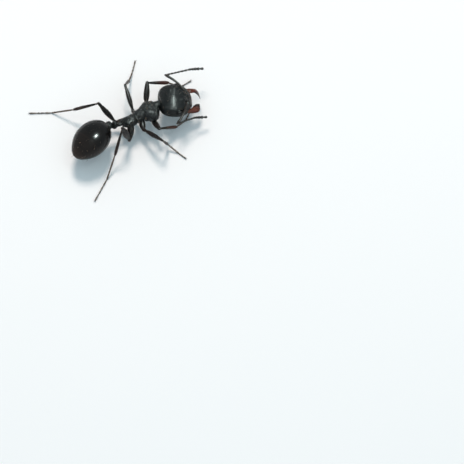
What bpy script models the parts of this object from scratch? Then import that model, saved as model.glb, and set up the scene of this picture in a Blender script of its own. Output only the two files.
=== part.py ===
"""Harvester ant worker, life size, standing with its legs spread, its head turned and its jaws open.

+X runs along the trunk towards the head, +Y to the ant's left and +Z up, with the floor at Z = 0.
Sizes are in millimetres and angles in degrees. A mesh becomes metres where its object is made.
"""

from math import asin, cos, degrees, pi, radians, sin

import bmesh
import bpy
from mathutils import Matrix, Vector

MM = 0.001
MERGE = 0.0005  # points closer than this are one point
GAP = 0.02  # clearance between neighbouring pieces
SOLE_CUT = 0.03  # how far the floor cuts into each foot, which leaves its flat sole

# Trunk: places along X, each with the middle, the half width, the top and the bottom there.
TRUNK_MIDDLE = [
    (-1.16, 0.0), (-0.8, -0.09), (-0.44, -0.07), (-0.1, -0.08), (0.15, -0.14), (0.42, -0.15), (0.66, -0.1)
]
TRUNK_HALF_WIDTH = [
    (-1.16, 0.13), (-0.95, 0.22), (-0.62, 0.25), (-0.44, 0.24), (-0.22, 0.265),
    (0.0, 0.36), (0.16, 0.48), (0.3, 0.495), (0.44, 0.43), (0.66, 0.2)
]
TRUNK_TOP = [
    (-1.16, 0.95), (-0.98, 1.07), (-0.75, 1.15), (-0.46, 1.13),
    (-0.25, 1.24), (0.15, 1.33), (0.45, 1.26), (0.66, 1.12)
]
TRUNK_BOTTOM = [(-1.16, 0.79), (-0.95, 0.66), (-0.5, 0.57), (0.1, 0.55), (0.42, 0.65), (0.66, 0.87)]
TRUNK_RINGS = 20
NECK_AT = (0.63, -0.09, 1.02)
COLLAR_AT = (-0.1, 0.0, 0.95)  # between the pronotum and the mesothorax
COLLAR_TILT = 20  # its plane leans forward at the top
GROOVE_AT = (-0.45, 0.0, 0.9)  # between the mesothorax and the propodeum
GROOVE_TILT = -8

# Waist: the joints that the petiole and the postpetiole lie between.
PETIOLE_AT = (-1.12, -0.01, 0.87)
POSTPETIOLE_AT = (-1.54, 0.11, 0.99)
GASTER_AT = (-1.77, 0.19, 1.08)
PETIOLE_HALF_WIDTH = [(0.0, 0.12), (0.4, 0.11), (0.72, 0.18), (0.88, 0.17), (1.0, 0.12)]
PETIOLE_TOP = [(0.0, 0.08), (0.4, 0.1), (0.72, 0.26), (0.86, 0.23), (1.0, 0.1)]
PETIOLE_BOTTOM = [(0.0, 0.1), (0.5, 0.12), (0.8, 0.14), (1.0, 0.1)]
POSTPETIOLE_HALF_WIDTH = [(0.0, 0.13), (0.5, 0.21), (1.0, 0.17)]
POSTPETIOLE_TOP = [(0.0, 0.11), (0.5, 0.21), (1.0, 0.14)]
POSTPETIOLE_BOTTOM = [(0.0, 0.11), (0.5, 0.18), (1.0, 0.14)]
WAIST_RINGS = 7

# Gaster: an egg on its side, drooping a little and swung to the right. Shares of its length run from
# its front.
GASTER = {
    "length": 2.08, "heading": 198.4, "pitch": -4, "front_blunt": 2.3, "back_blunt": 2.05, "square": 2.1
}
GASTER_HALF_WIDTH = [(0.0, 0.68), (0.42, 0.74), (0.75, 0.68), (1.0, 0.55)]
GASTER_TOP = [(0.0, 0.62), (0.4, 0.71), (0.75, 0.62), (1.0, 0.5)]
GASTER_BOTTOM = [(0.0, 0.5), (0.45, 0.6), (0.75, 0.56), (1.0, 0.5)]
GASTER_PLATE_ENDS = (0.6, 0.76, 0.87, 0.94)  # shares of the length where one plate ends and the next begins
GASTER_RINGS = 20

# Head: rounded and square, turned to the right and nodding.
HEAD = {
    "centre": (1.42, -0.23, 0.96), "heading": -24, "pitch": -14,
    "length": 1.48, "front_blunt": 3.2, "back_blunt": 3.1, "square": 2.4
}
HEAD_HALF_WIDTH = [(0.0, 0.6), (0.25, 0.7), (0.6, 0.73), (1.0, 0.68)]
HEAD_TOP = [(0.0, 0.26), (0.25, 0.43), (0.6, 0.52), (1.0, 0.44)]
HEAD_BOTTOM = [(0.0, 0.22), (0.25, 0.38), (0.6, 0.48), (1.0, 0.42)]
HEAD_RINGS = 16
NECK_RADIUS = 0.13
# in the head's own axes
EYE = {"place": (0.12, 0.675, 0.17), "half_sizes": (0.15, 0.085, 0.115), "turn": -6}

# Mandibles, in the head's own axes. The outline's X runs forward and its Y inward.
MANDIBLE = {
    "hinge": (0.62, 0.48, 0.02), "thickness": 0.16, "rounding": 0.03, "teeth": 4, "tooth": 0.05,
    "droop": 5, "opening": {"left": 0, "right": 8}
}
MANDIBLE_OUTER = [(-0.14, -0.13), (0.12, -0.14), (0.3, -0.11), (0.44, 0.01), (0.52, 0.17)]
MANDIBLE_TIP = (0.52, 0.38)
MANDIBLE_HEEL = (0.22, 0.21)
MANDIBLE_INNER = [(0.1, 0.1), (-0.14, 0.1)]

# Antennae: the scape's socket and the place it bows through are in the head's own axes.
SOCKET = (0.42, 0.24, 0.38)
ANTENNA_RADII = {
    "scape": (0.2, 0.215, 0.225), "funiculus": (0.225, 0.21, 0.215), "club": (0.215, 0.24, 0.2)
}
ANTENNAE = {
    "left": {
        "bow": (0.22, 0.62, 0.5), "elbow": (1.6, 0.8, 1.52),
        "club": (2.74, 0.63, 1.25), "tip": (3.28, 0.52, 1.1)
    },
    "right": {
        "bow": (0.3, 0.84, 0.4), "elbow": (0.9, -1.27, 1.05),
        "club": (1.84, -1.28, 0.74), "tip": (2.36, -1.41, 0.62)
    },
}

# Legs: lengths that a pair shares, then the pose of each leg as the heading and pitch of its parts.
LEG_RADII = {
    "coxa": (0.2, 0.22, 0.22), "femur": (0.22, 0.25, 0.215), "tibia": (0.215, 0.225, 0.215),
    "metatarsus": (0.215, 0.215, 0.215), "tarsus": (0.215, 0.21, 0.205)
}
LEG_LENGTHS = {
    "front": {"femur": 1.0, "tibia": 1.03, "metatarsus": 0.7, "tarsus": 0.48},
    "middle": {"femur": 1.3, "tibia": 0.98, "metatarsus": 0.56, "tarsus": 0.44},
    "hind": {"femur": 1.34, "tibia": 1.32, "metatarsus": 1.06, "tarsus": 1.04},
}
COXA_ROOT = {"front": (0.28, 0.17, 0.82), "middle": (-0.22, 0.17, 0.74), "hind": (-0.78, 0.17, 0.72)}
LEG_POSE = {
    "left_front": {
        "hip": (0.33, 0.4, 0.52), "femur": (55, 33), "tibia": (-16, -25),
        "metatarsus": -20, "tarsus": 7
    },
    "right_front": {
        "hip": (0.23, -0.29, 0.42), "femur": (-95, 35), "tibia": (-2, -35),
        "metatarsus": 23, "tarsus": 40
    },
    "left_middle": {
        "hip": (-0.3, 0.39, 0.49), "femur": (81, 28), "tibia": (38, -52),
        "metatarsus": 48, "tarsus": 45
    },
    "right_middle": {
        "hip": (-0.38, -0.62, 0.6), "femur": (-75, 26), "tibia": (20, -67),
        "metatarsus": -64, "tarsus": -72
    },
    "left_hind": {
        "hip": (-1.2, 0.35, 0.44), "femur": (121, 48), "tibia": (144, -37.5),
        "metatarsus": 140.5, "tarsus": 153
    },
    "right_hind": {
        "hip": (-1.08, -0.62, 0.33), "femur": (163, 75.5), "tibia": (-139, -50),
        "metatarsus": -141.5, "tarsus": -147
    },
}

# Colour and roughness of each finish.
FINISHES = {
    "head_shell": ((0.02, 0.021, 0.022), 0.5),
    "trunk_shell": ((0.016, 0.017, 0.018), 0.6),
    "gaster_shell": ((0.012, 0.011, 0.011), 0.15),
    "leg_shell": ((0.035, 0.024, 0.02), 0.35),
    "foot_shell": ((0.2, 0.13, 0.09), 0.4),
    "mandible_shell": ((0.22, 0.04, 0.025), 0.25),
    "eye_lens": ((0.01, 0.01, 0.012), 0.2),
}


def smooth_through(points):
    """A function of place that passes smoothly through (place, value) pairs."""
    places = [p for p, _ in points]
    values = [v for _, v in points]
    last = len(points) - 1
    slopes = []
    for i in range(last + 1):
        low, high = max(i - 1, 0), min(i + 1, last)
        slopes.append((values[high] - values[low]) / (places[high] - places[low]))

    def value(place):
        i = max(k for k in range(last) if k == 0 or places[k] <= place)
        step = places[i + 1] - places[i]
        t = min(max((place - places[i]) / step, 0.0), 1.0)
        start = (1 + 2 * t) * (1 - t) ** 2 * values[i] + t * (1 - t) ** 2 * slopes[i] * step
        end = t * t * (3 - 2 * t) * values[i + 1] - t * t * (1 - t) * slopes[i + 1] * step
        return start + end

    return value


def direction(heading, pitch):
    """The unit vector at a heading from +X and a pitch above the floor."""
    across = cos(radians(pitch))
    return Vector((across * cos(radians(heading)), across * sin(radians(heading)), sin(radians(pitch))))


def frame_at(place, forward):
    """A matrix whose X axis points forward from a place, with Z as near to upright as it can be."""
    x = Vector(forward).normalized()
    upright = Vector((0, 0, 1)) if abs(x.z) < 0.99 else Vector((1, 0, 0))
    y = upright.cross(x).normalized()
    z = x.cross(y)
    return Matrix.Translation(place) @ Matrix((x, y, z)).transposed().to_4x4()


HEAD_FRAME = frame_at(HEAD["centre"], direction(HEAD["heading"], HEAD["pitch"]))


def collection(name):
    made = bpy.data.collections.new(name)
    bpy.context.scene.collection.children.link(made)
    return made


def material(slot):
    """The Principled material of one finish."""
    if slot in bpy.data.materials:
        return bpy.data.materials[slot]
    colour, roughness = FINISHES[slot]
    made = bpy.data.materials.new(slot)
    made.use_nodes = True
    shader = made.node_tree.nodes["Principled BSDF"]
    shader.inputs["Base Color"].default_value = (*colour, 1.0)
    shader.inputs["Roughness"].default_value = roughness
    shader.inputs["Metallic"].default_value = 0.0
    return made


def add_piece(name, bm, matrix, slot):
    """Makes one node from a mesh in millimetres, placed by its own location and rotation."""
    bmesh.ops.recalc_face_normals(bm, faces=bm.faces)
    bmesh.ops.scale(bm, vec=(MM, MM, MM), verts=bm.verts)
    mesh = bpy.data.meshes.new(name)
    bm.to_mesh(mesh)
    bm.free()
    mesh.materials.append(material(slot))
    mesh.shade_smooth()
    mesh.set_sharp_from_angle(angle=radians(40))
    piece = bpy.data.objects.new(name, mesh)
    turned = matrix.to_3x3().to_4x4()
    piece.matrix_world = Matrix.Translation(matrix.translation * MM) @ turned
    piece.parent = root
    parts.objects.link(piece)
    return piece


def loft(places, section, sides):
    """A closed body of rings across X. section(place) gives half width, up, down and squareness there."""
    bm = bmesh.new()
    rings = []
    for place in places:
        half_width, up, down, square = section(place)
        if half_width < MERGE:
            rings.append([bm.verts.new((place, 0, 0))])
            continue
        ring = []
        for k in range(sides):
            c, s = cos(2 * pi * k / sides), sin(2 * pi * k / sides)
            y = half_width * abs(c) ** (2 / square) * (1 if c > 0 else -1)
            z = (up if s > 0 else -down) * abs(s) ** (2 / square)
            ring.append(bm.verts.new((place, y, z)))
        rings.append(ring)
    for a, b in zip(rings, rings[1:]):
        for k in range(sides):
            n = (k + 1) % sides
            corners = [a[k % len(a)], a[n % len(a)], b[n % len(b)], b[k % len(b)]]
            bm.faces.new(list(dict.fromkeys(corners)))
    for ring in (rings[0], rings[-1]):
        if len(ring) > 1:
            bm.faces.new(ring)
    bmesh.ops.recalc_face_normals(bm, faces=bm.faces)
    return bm


def egg_section(form, half_width, top, bottom):
    """The section function of a closed egg that runs from its front, with its own bluntness at each end."""
    wide, up, down = (smooth_through(points) for points in (half_width, top, bottom))

    def section(place):
        share = place / form["length"]
        along = 2 * share - 1
        blunt = form["back_blunt"] if along > 0 else form["front_blunt"]
        cap = max(1 - abs(along) ** blunt, 0.0) ** (1 / blunt)
        return wide(share) * cap, up(share) * cap, down(share) * cap, form["square"]

    return section


def egg_places(length, rings):
    """Places along an egg, closer together near its ends."""
    return [length * (1 - cos(pi * i / rings)) / 2 for i in range(rings + 1)]


def cut_away(bm, place, normal):
    """Removes what lies on the normal's side of a plane, half a gap short of it, and closes the cut."""
    normal = Vector(normal).normalized()
    everything = bm.verts[:] + bm.edges[:] + bm.faces[:]
    short = Vector(place) - normal * GAP / 2
    cut = bmesh.ops.bisect_plane(
        bm, geom=everything, dist=MERGE / 10, plane_co=short, plane_no=normal, clear_outer=True
    )
    rim = [e for e in cut["geom_cut"] if isinstance(e, bmesh.types.BMEdge)]
    bmesh.ops.contextual_create(bm, geom=rim)
    return bm


def cut_in_frame(bm, matrix, planes):
    """Cuts a mesh by planes given in the model frame."""
    back = matrix.inverted()
    for place, normal in planes:
        cut_away(bm, back @ Vector(place), back.to_3x3() @ Vector(normal))
    return bm


def facing(turn, tilt):
    """The normal of an upright plane across the trunk, turned and tilted."""
    return direction(turn, -tilt)


def padded_cutter(source, grow=GAP):
    """A hidden copy of a piece, grown all over by the clearance, that its neighbours are trimmed with."""
    cutter = bpy.data.objects.new(source.name + "_cutter", source.data.copy())
    cutters.objects.link(cutter)
    cutter.matrix_world = source.matrix_world.copy()
    bm = bmesh.new()
    bm.from_mesh(cutter.data)
    bm.normal_update()
    for vertex, normal in [(v, v.normal.copy()) for v in bm.verts]:
        vertex.co += normal * grow * MM
    bm.to_mesh(cutter.data)
    bm.free()
    cutter.hide_render = True
    cutter.hide_set(True)
    cutter.display_type = "WIRE"
    cutter.parent = root
    return cutter


def trim(piece, cutter):
    """Takes a cutter's shape out of a piece."""
    cut = piece.modifiers.new("trimmed_by_" + cutter.name, "BOOLEAN")
    cut.operation = "DIFFERENCE"
    cut.solver = "EXACT"
    cut.object = cutter


def limb_points(path, radii):
    """The centreline and radius of a limb: a ball end, a swelling along its path and a ball end."""
    start, middle, end = radii
    swell = smooth_through([(0.0, start), (0.45, middle), (1.0, end)])
    back = (path[0] - path[1]).normalized()
    on = (path[-1] - path[-2]).normalized()
    along = [(path[0] + back * start * cos(radians(a)), start * sin(radians(a))) for a in (12, 45)]
    along += [(p, swell(i / (len(path) - 1))) for i, p in enumerate(path)]
    along += [(path[-1] + on * end * cos(radians(a)), end * sin(radians(a))) for a in (45, 12)]
    return along


def limb(name, path, radii, planes, slot):
    """One limb piece: a tube along its path with ball ends, parted from its neighbours by planes."""
    matrix = frame_at(path[0], path[-1] - path[0])
    back = matrix.inverted()
    curve = bpy.data.curves.new(name, "CURVE")
    curve.dimensions = "3D"
    curve.bevel_depth = 1.0
    curve.bevel_resolution = 3
    curve.use_fill_caps = True
    along = limb_points(path, radii)
    spline = curve.splines.new("POLY")
    spline.points.add(len(along) - 1)
    for point, (place, radius) in zip(spline.points, along):
        point.co = (*(back @ place), 1.0)
        point.radius = radius
    tube = bpy.data.objects.new(name, curve)
    bpy.context.scene.collection.objects.link(tube)
    seen = bpy.context.evaluated_depsgraph_get()
    mesh = bpy.data.meshes.new_from_object(tube.evaluated_get(seen))
    bm = bmesh.new()
    bm.from_mesh(mesh)
    bmesh.ops.remove_doubles(bm, verts=bm.verts, dist=MERGE)
    bpy.data.objects.remove(tube)
    bpy.data.curves.remove(curve)
    bpy.data.meshes.remove(mesh)
    return add_piece(name, cut_in_frame(bm, matrix, planes), matrix, slot)


def bend_plane(before, joint, after):
    """The plane that halves the bend at a joint, its normal pointing onward along the limb."""
    onward = (joint - before).normalized() + (after - joint).normalized()
    return joint, onward.normalized()


def flipped(plane):
    return plane[0], -plane[1]


def straight(start, end, steps=3):
    return [start.lerp(end, i / steps) for i in range(steps + 1)]


def bowed(start, bow, end, steps=6):
    """Points on the smooth arc from start to end that leans towards bow."""
    return [start.lerp(bow, i / steps).lerp(bow.lerp(end, i / steps), i / steps) for i in range(steps + 1)]


def add_trunk():
    """The mesosoma, modelled whole and parted into pronotum, mesothorax and propodeum."""
    middle = smooth_through(TRUNK_MIDDLE)
    wide, top, bottom = (smooth_through(points) for points in (TRUNK_HALF_WIDTH, TRUNK_TOP, TRUNK_BOTTOM))
    back, front = TRUNK_HALF_WIDTH[0][0], TRUNK_HALF_WIDTH[-1][0]
    places = [back + (front - back) * i / TRUNK_RINGS for i in range(TRUNK_RINGS + 1)]

    def whole():
        bm = loft(places, lambda x: (wide(x), (top(x) - bottom(x)) / 2, (top(x) - bottom(x)) / 2, 2.3), 20)
        for vertex in bm.verts:
            vertex.co.y += middle(vertex.co.x)
            vertex.co.z += (top(vertex.co.x) + bottom(vertex.co.x)) / 2
        return bm

    collar = (Vector(COLLAR_AT), facing(0, COLLAR_TILT))
    groove = (Vector(GROOVE_AT), facing(0, GROOVE_TILT))
    neck = (Vector(NECK_AT), Vector((1, 0, 0)))
    waist = bend_plane(Vector(PETIOLE_AT) + Vector((1, 0, 0)), Vector(PETIOLE_AT), Vector(POSTPETIOLE_AT))
    spans = {
        "pronotum": (neck, flipped(collar)),
        "mesothorax": (collar, flipped(groove)),
        "propodeum": (groove, (waist[0], Vector((-1, 0, 0)))),
    }
    for name, planes in spans.items():
        place = Vector((sum(p[0].x for p in planes) / 2, 0, 0))
        matrix = Matrix.Translation(place)
        bm = whole()
        bmesh.ops.translate(bm, vec=-place, verts=bm.verts)
        add_piece(name, cut_in_frame(bm, matrix, planes), matrix, "trunk_shell")
    solid = add_piece("trunk_whole", whole(), Matrix.Identity(4), "trunk_shell")
    cutter = padded_cutter(solid)
    bpy.data.objects.remove(solid)
    return cutter


def add_waist():
    """The petiole with its node, and the postpetiole. Returns the plane that the gaster starts behind."""
    shapes = {
        "petiole": (PETIOLE_HALF_WIDTH, PETIOLE_TOP, PETIOLE_BOTTOM),
        "postpetiole": (POSTPETIOLE_HALF_WIDTH, POSTPETIOLE_TOP, POSTPETIOLE_BOTTOM),
    }
    joints = [Vector(place) for place in (PETIOLE_AT, POSTPETIOLE_AT, GASTER_AT)]
    joints.insert(0, joints[0] + Vector((1, 0, 0)))
    joints.append(joints[-1] + direction(GASTER["heading"], GASTER["pitch"]))
    for k, (name, (half_width, tops, bottoms)) in enumerate(shapes.items(), 1):
        start, end = joints[k], joints[k + 1]
        length = (end - start).length
        overrun = 0.1 * length
        wide, up, down = (smooth_through(points) for points in (half_width, tops, bottoms))
        places = [-overrun + (length + 2 * overrun) * i / WAIST_RINGS for i in range(WAIST_RINGS + 1)]
        bm = loft(places, lambda x: (wide(x / length), up(x / length), down(x / length), 2.0), 12)
        matrix = frame_at(start, end - start)
        front = (start, Vector((1, 0, 0))) if k == 1 else flipped(bend_plane(*joints[k - 1 : k + 2]))
        planes = [front, bend_plane(*joints[k : k + 3])]
        add_piece(name, cut_in_frame(bm, matrix, planes), matrix, "trunk_shell")
    return bend_plane(*joints[2:5])


def add_gaster(front_plane):
    """The gaster, modelled whole and parted into its plates."""
    matrix = frame_at(GASTER_AT, direction(GASTER["heading"], GASTER["pitch"]))
    section = egg_section(GASTER, GASTER_HALF_WIDTH, GASTER_TOP, GASTER_BOTTOM)
    places = egg_places(GASTER["length"], GASTER_RINGS)
    ends = [s * GASTER["length"] for s in GASTER_PLATE_ENDS]
    for k in range(len(ends) + 1):
        bm = loft(places, section, 24)
        bmesh.ops.translate(bm, vec=(-0.04, 0, 0), verts=bm.verts)
        planes = [flipped(front_plane)]
        if k > 0:
            planes = [(matrix @ Vector((ends[k - 1], 0, 0)), -matrix.to_3x3().col[0])]
        if k < len(ends):
            planes.append((matrix @ Vector((ends[k], 0, 0)), matrix.to_3x3().col[0]))
        add_piece(f"gaster_{k + 1}", cut_in_frame(bm, matrix, planes), matrix, "gaster_shell")


def add_eye(side, sign):
    x, y, z = EYE["place"]
    turned = Matrix.Rotation(radians(sign * EYE["turn"]), 4, "Z")
    matrix = HEAD_FRAME @ Matrix.Translation((x, sign * y, z)) @ turned
    bm = bmesh.new()
    shape = Matrix.Diagonal((*EYE["half_sizes"], 1))
    bmesh.ops.create_uvsphere(bm, u_segments=14, v_segments=8, radius=1.0, matrix=shape)
    return add_piece(f"{side}_eye", bm, matrix, "eye_lens")


def add_head(eyes):
    """The head capsule, with a socket cut for each eye."""
    section = egg_section(HEAD, HEAD_HALF_WIDTH, HEAD_TOP, HEAD_BOTTOM)
    bm = loft(egg_places(HEAD["length"], HEAD_RINGS), section, 24)
    half = HEAD["length"] / 2
    for vertex in bm.verts:
        vertex.co.x = half - vertex.co.x
    bmesh.ops.reverse_faces(bm, faces=bm.faces)
    head = add_piece("head", bm, HEAD_FRAME, "head_shell")
    cutter = padded_cutter(head)
    for eye in eyes:
        trim(head, padded_cutter(eye))
    return cutter


def mandible_outline():
    """The outline of a jaw: its outer edge, its teeth from the tip to the heel, and its inner edge."""
    tip, heel = Vector(MANDIBLE_TIP), Vector(MANDIBLE_HEEL)
    outline = [Vector(p) for p in MANDIBLE_OUTER] + [tip]
    step = (heel - tip) / MANDIBLE["teeth"]
    notch = Vector((step.y, -step.x)).normalized() * MANDIBLE["tooth"]
    for k in range(1, MANDIBLE["teeth"]):
        outline += [tip + step * (k - 0.45) + notch, tip + step * k]
    outline.append(heel)
    return outline + [Vector(p) for p in MANDIBLE_INNER]


def add_mandible(side, sign, head_cutter):
    """A flat toothed jaw with rounded edges, trimmed where it enters the head."""
    curve = bpy.data.curves.new(side + "_mandible", "CURVE")
    curve.dimensions = "2D"
    curve.fill_mode = "BOTH"
    curve.extrude = MANDIBLE["thickness"] / 2 - MANDIBLE["rounding"]
    curve.bevel_depth = MANDIBLE["rounding"]
    curve.bevel_resolution = 0
    curve.offset = -MANDIBLE["rounding"]
    outline = mandible_outline()
    spline = curve.splines.new("POLY")
    spline.points.add(len(outline) - 1)
    for point, place in zip(spline.points, outline):
        point.co = (place.x, -sign * place.y, 0, 1)
    spline.use_cyclic_u = True
    flat = bpy.data.objects.new(side + "_mandible_outline", curve)
    bpy.context.scene.collection.objects.link(flat)
    seen = bpy.context.evaluated_depsgraph_get()
    mesh = bpy.data.meshes.new_from_object(flat.evaluated_get(seen))
    bm = bmesh.new()
    bm.from_mesh(mesh)
    bmesh.ops.remove_doubles(bm, verts=bm.verts, dist=MERGE)
    bpy.data.objects.remove(flat)
    bpy.data.curves.remove(curve)
    bpy.data.meshes.remove(mesh)
    x, y, z = MANDIBLE["hinge"]
    opened = Matrix.Rotation(radians(sign * MANDIBLE["opening"][side]), 4, "Z")
    drooped = Matrix.Rotation(radians(MANDIBLE["droop"]), 4, "Y")
    matrix = HEAD_FRAME @ Matrix.Translation((x, sign * y, z)) @ opened @ drooped
    jaw = add_piece(side + "_mandible", bm, matrix, "mandible_shell")
    trim(jaw, head_cutter)


def add_neck(head_cutter):
    start = Vector(NECK_AT)
    end = HEAD_FRAME @ Vector((-HEAD["length"] / 2 + 0.1, 0, 0))
    radii = (NECK_RADIUS,) * 3
    path = straight(start - (end - start) * 0.3, end)
    neck = limb("neck", path, radii, [(start, Vector((-1, 0, 0)))], "trunk_shell")
    trim(neck, head_cutter)


def add_antenna(side, sign, head_cutter):
    """The scape, bowed over the head, then the funiculus and its club."""
    pose = ANTENNAE[side]
    socket = HEAD_FRAME @ Vector((SOCKET[0], sign * SOCKET[1], SOCKET[2]))
    bow = HEAD_FRAME @ Vector((pose["bow"][0], sign * pose["bow"][1], pose["bow"][2]))
    elbow, club, tip = (Vector(pose[k]) for k in ("elbow", "club", "tip"))
    arc = bowed(socket, bow, elbow)
    at_elbow = bend_plane(arc[-2], elbow, club)
    at_club = bend_plane(elbow, club, tip)
    pieces = {
        "scape": (arc, [at_elbow]),
        "funiculus": (straight(elbow, club), [flipped(at_elbow), at_club]),
        "club": (straight(club, tip), [flipped(at_club)]),
    }
    for part, (path, planes) in pieces.items():
        piece = limb(f"{side}_{part}", path, ANTENNA_RADII[part], planes, "leg_shell")
        if part == "scape":
            trim(piece, head_cutter)


def leg_joints(name, pair, sign):
    """The joints of one leg from the coxa's root to the toe, which rests on the floor."""
    pose, lengths = LEG_POSE[name], LEG_LENGTHS[pair]
    root_x, root_y, root_z = COXA_ROOT[pair]
    hip = Vector(pose["hip"])
    knee = hip + lengths["femur"] * direction(*pose["femur"])
    ankle = knee + lengths["tibia"] * direction(*pose["tibia"])
    rest = LEG_RADII["tarsus"][0] - SOLE_CUT
    fall = degrees(asin((rest - ankle.z) / lengths["metatarsus"]))
    instep = ankle + lengths["metatarsus"] * direction(pose["metatarsus"], fall)
    toe = instep + lengths["tarsus"] * direction(pose["tarsus"], 0)
    inside = smooth_through(TRUNK_MIDDLE)(root_x) + sign * root_y
    return [Vector((root_x, inside, root_z)), hip, knee, ankle, instep, toe]


def add_leg(side, sign, pair, trunk_cutter):
    """Coxa, femur, tibia, metatarsus and tarsus, parted where each bend is halved."""
    name = f"{side}_{pair}"
    joints = leg_joints(name, pair, sign)
    bends = [bend_plane(*joints[k - 1 : k + 2]) for k in range(1, 5)]
    floor = (Vector((0, 0, -GAP / 2)), Vector((0, 0, -1)))
    for k, part in enumerate(LEG_RADII):
        planes = [bends[k]] if k < len(bends) else []
        planes += [flipped(bends[k - 1])] if k > 0 else []
        planes += [floor] if part in ("metatarsus", "tarsus") else []
        slot = "foot_shell" if part in ("metatarsus", "tarsus") else "leg_shell"
        piece = limb(f"{name}_{part}", straight(joints[k], joints[k + 1]), LEG_RADII[part], planes, slot)
        if part == "coxa":
            trim(piece, trunk_cutter)


def centre_on_floor():
    """Moves the whole ant so that the middle of its box stands over the origin."""
    bpy.context.view_layer.update()
    seen = bpy.context.evaluated_depsgraph_get()
    corners = []
    for piece in parts.objects:
        shown = piece.evaluated_get(seen)
        corners += [shown.matrix_world @ v.co for v in shown.data.vertices]
    for axis in (0, 1):
        values = [c[axis] for c in corners]
        root.location[axis] = -(min(values) + max(values)) / 2


for old in list(bpy.data.objects):
    bpy.data.objects.remove(old)

parts = collection("harvester_ant")
cutters = collection("cutters")
root = bpy.data.objects.new("ant_root", None)
bpy.context.scene.collection.objects.link(root)

trunk = add_trunk()
add_gaster(add_waist())
sides = {"left": 1, "right": -1}
capsule = add_head([add_eye(side, sign) for side, sign in sides.items()])
add_neck(capsule)
for side, sign in sides.items():
    add_mandible(side, sign, capsule)
    add_antenna(side, sign, capsule)
    for pair in LEG_LENGTHS:
        add_leg(side, sign, pair, trunk)
centre_on_floor()
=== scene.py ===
from math import cos, pi, radians, sin, tau

import bpy
import numpy as np
from mathutils import Matrix, Vector, noise
from mathutils.bvhtree import BVHTree


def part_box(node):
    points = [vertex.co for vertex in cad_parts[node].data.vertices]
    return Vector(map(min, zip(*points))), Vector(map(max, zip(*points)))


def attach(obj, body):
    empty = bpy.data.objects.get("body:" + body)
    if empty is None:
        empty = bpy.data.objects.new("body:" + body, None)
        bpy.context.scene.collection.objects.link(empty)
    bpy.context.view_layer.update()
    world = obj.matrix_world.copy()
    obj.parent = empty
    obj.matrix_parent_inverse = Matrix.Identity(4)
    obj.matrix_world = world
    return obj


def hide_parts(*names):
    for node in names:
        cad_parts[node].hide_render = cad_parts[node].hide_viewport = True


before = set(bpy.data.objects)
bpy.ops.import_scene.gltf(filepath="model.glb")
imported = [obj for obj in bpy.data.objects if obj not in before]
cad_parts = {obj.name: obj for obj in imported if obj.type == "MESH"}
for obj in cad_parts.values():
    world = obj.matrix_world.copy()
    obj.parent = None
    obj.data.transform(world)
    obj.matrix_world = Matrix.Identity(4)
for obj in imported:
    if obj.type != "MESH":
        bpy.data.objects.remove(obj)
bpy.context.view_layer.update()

# Shapes are made in millimetres in the frame of the solids. addPiece and addGrown turn them into metres.
mm = 0.001
sides = {"left": 1, "right": -1}
lowest = 0.002  # no point comes closer to the floor than this


def unit(v):
    return v / np.linalg.norm(v, axis=-1, keepdims=True)


def steps(count):
    return np.linspace(0, 1, count)


# rows are the forward, left and up directions
def axesAlong(forward):
    x = unit(np.array(forward, float))
    y = unit(np.cross((0, 0, 1), x))
    return np.array([x, y, np.cross(x, y)])


def axesAt(heading, pitch):
    level = cos(radians(pitch))
    return axesAlong((level * cos(radians(heading)), level * sin(radians(heading)), sin(radians(pitch))))


# a smooth curve through values, each at its place
def smoothThrough(points):
    places = np.array(list(points), float)
    values = np.array(list(points.values()), float)
    slopes = np.gradient(values, places)

    def value(at):
        at = np.clip(at, places[0], places[-1])
        i = np.clip(np.searchsorted(places, at, side="right") - 1, 0, len(places) - 2)
        step = places[i + 1] - places[i]
        t = (at - places[i]) / step
        first = (1 + 2 * t) * (1 - t) ** 2 * values[i] + t * (1 - t) ** 2 * slopes[i] * step
        return first + t * t * (3 - 2 * t) * values[i + 1] - t * t * (1 - t) * slopes[i + 1] * step

    return value


def ease(low, high, at):
    t = np.clip((at - low) / (high - low), 0, 1)
    return t * t * (3 - 2 * t)


# 1 at the middle, falling off on both sides
def bell(at, middle, width):
    return np.exp(-((at - middle) / width) ** 2)


# Bumps and hollows, each a centre, a size and a height. One beside the middle is on both sides.
def bumpsOf(points, table):
    lift = 0.0
    for centre, size, height in table.values():
        for y in sorted({centre[1], -centre[1]}, reverse=True):
            away = (points - np.array((centre[0], y, centre[2]))) / np.array(size)
            lift = lift + height * np.exp(-(away ** 2).sum(-1))
    return lift


def roughness(points, scale, seed):
    flat = (points * np.array(scale) + seed).reshape(-1, 3)
    return np.array([noise.noise(Vector(p)) for p in flat]).reshape(points.shape[:-1])


# Roughness in layers. Each has its strength, its scale and its seed.
def layered(points, layers, shape=lambda rough: rough):
    return sum(part * shape(roughness(points, scale, seed)) for part, scale, seed in layers)


# wrinkles with sharp crests
def wrinkles(points, layers, level=0.9):
    return layered(points, layers, lambda rough: 1 - 2 * np.abs(rough)) - level


# Reading the solids: each one's points, its triangles and its tree for rays and near points.
solids = {}


def threesOf(items, what, kind=float):
    values = np.empty(len(items) * 3, dtype=kind)
    items.foreach_get(what, values)
    return values.reshape(-1, 3)


def solid(name):
    if name not in solids:
        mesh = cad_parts[name].data
        mesh.calc_loop_triangles()
        points = threesOf(mesh.vertices, "co") / mm
        corners = threesOf(mesh.loop_triangles, "vertices", np.int32)
        solids[name] = (points, corners, BVHTree.FromPolygons(points.tolist(), corners.tolist()))
    return solids[name]


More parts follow.
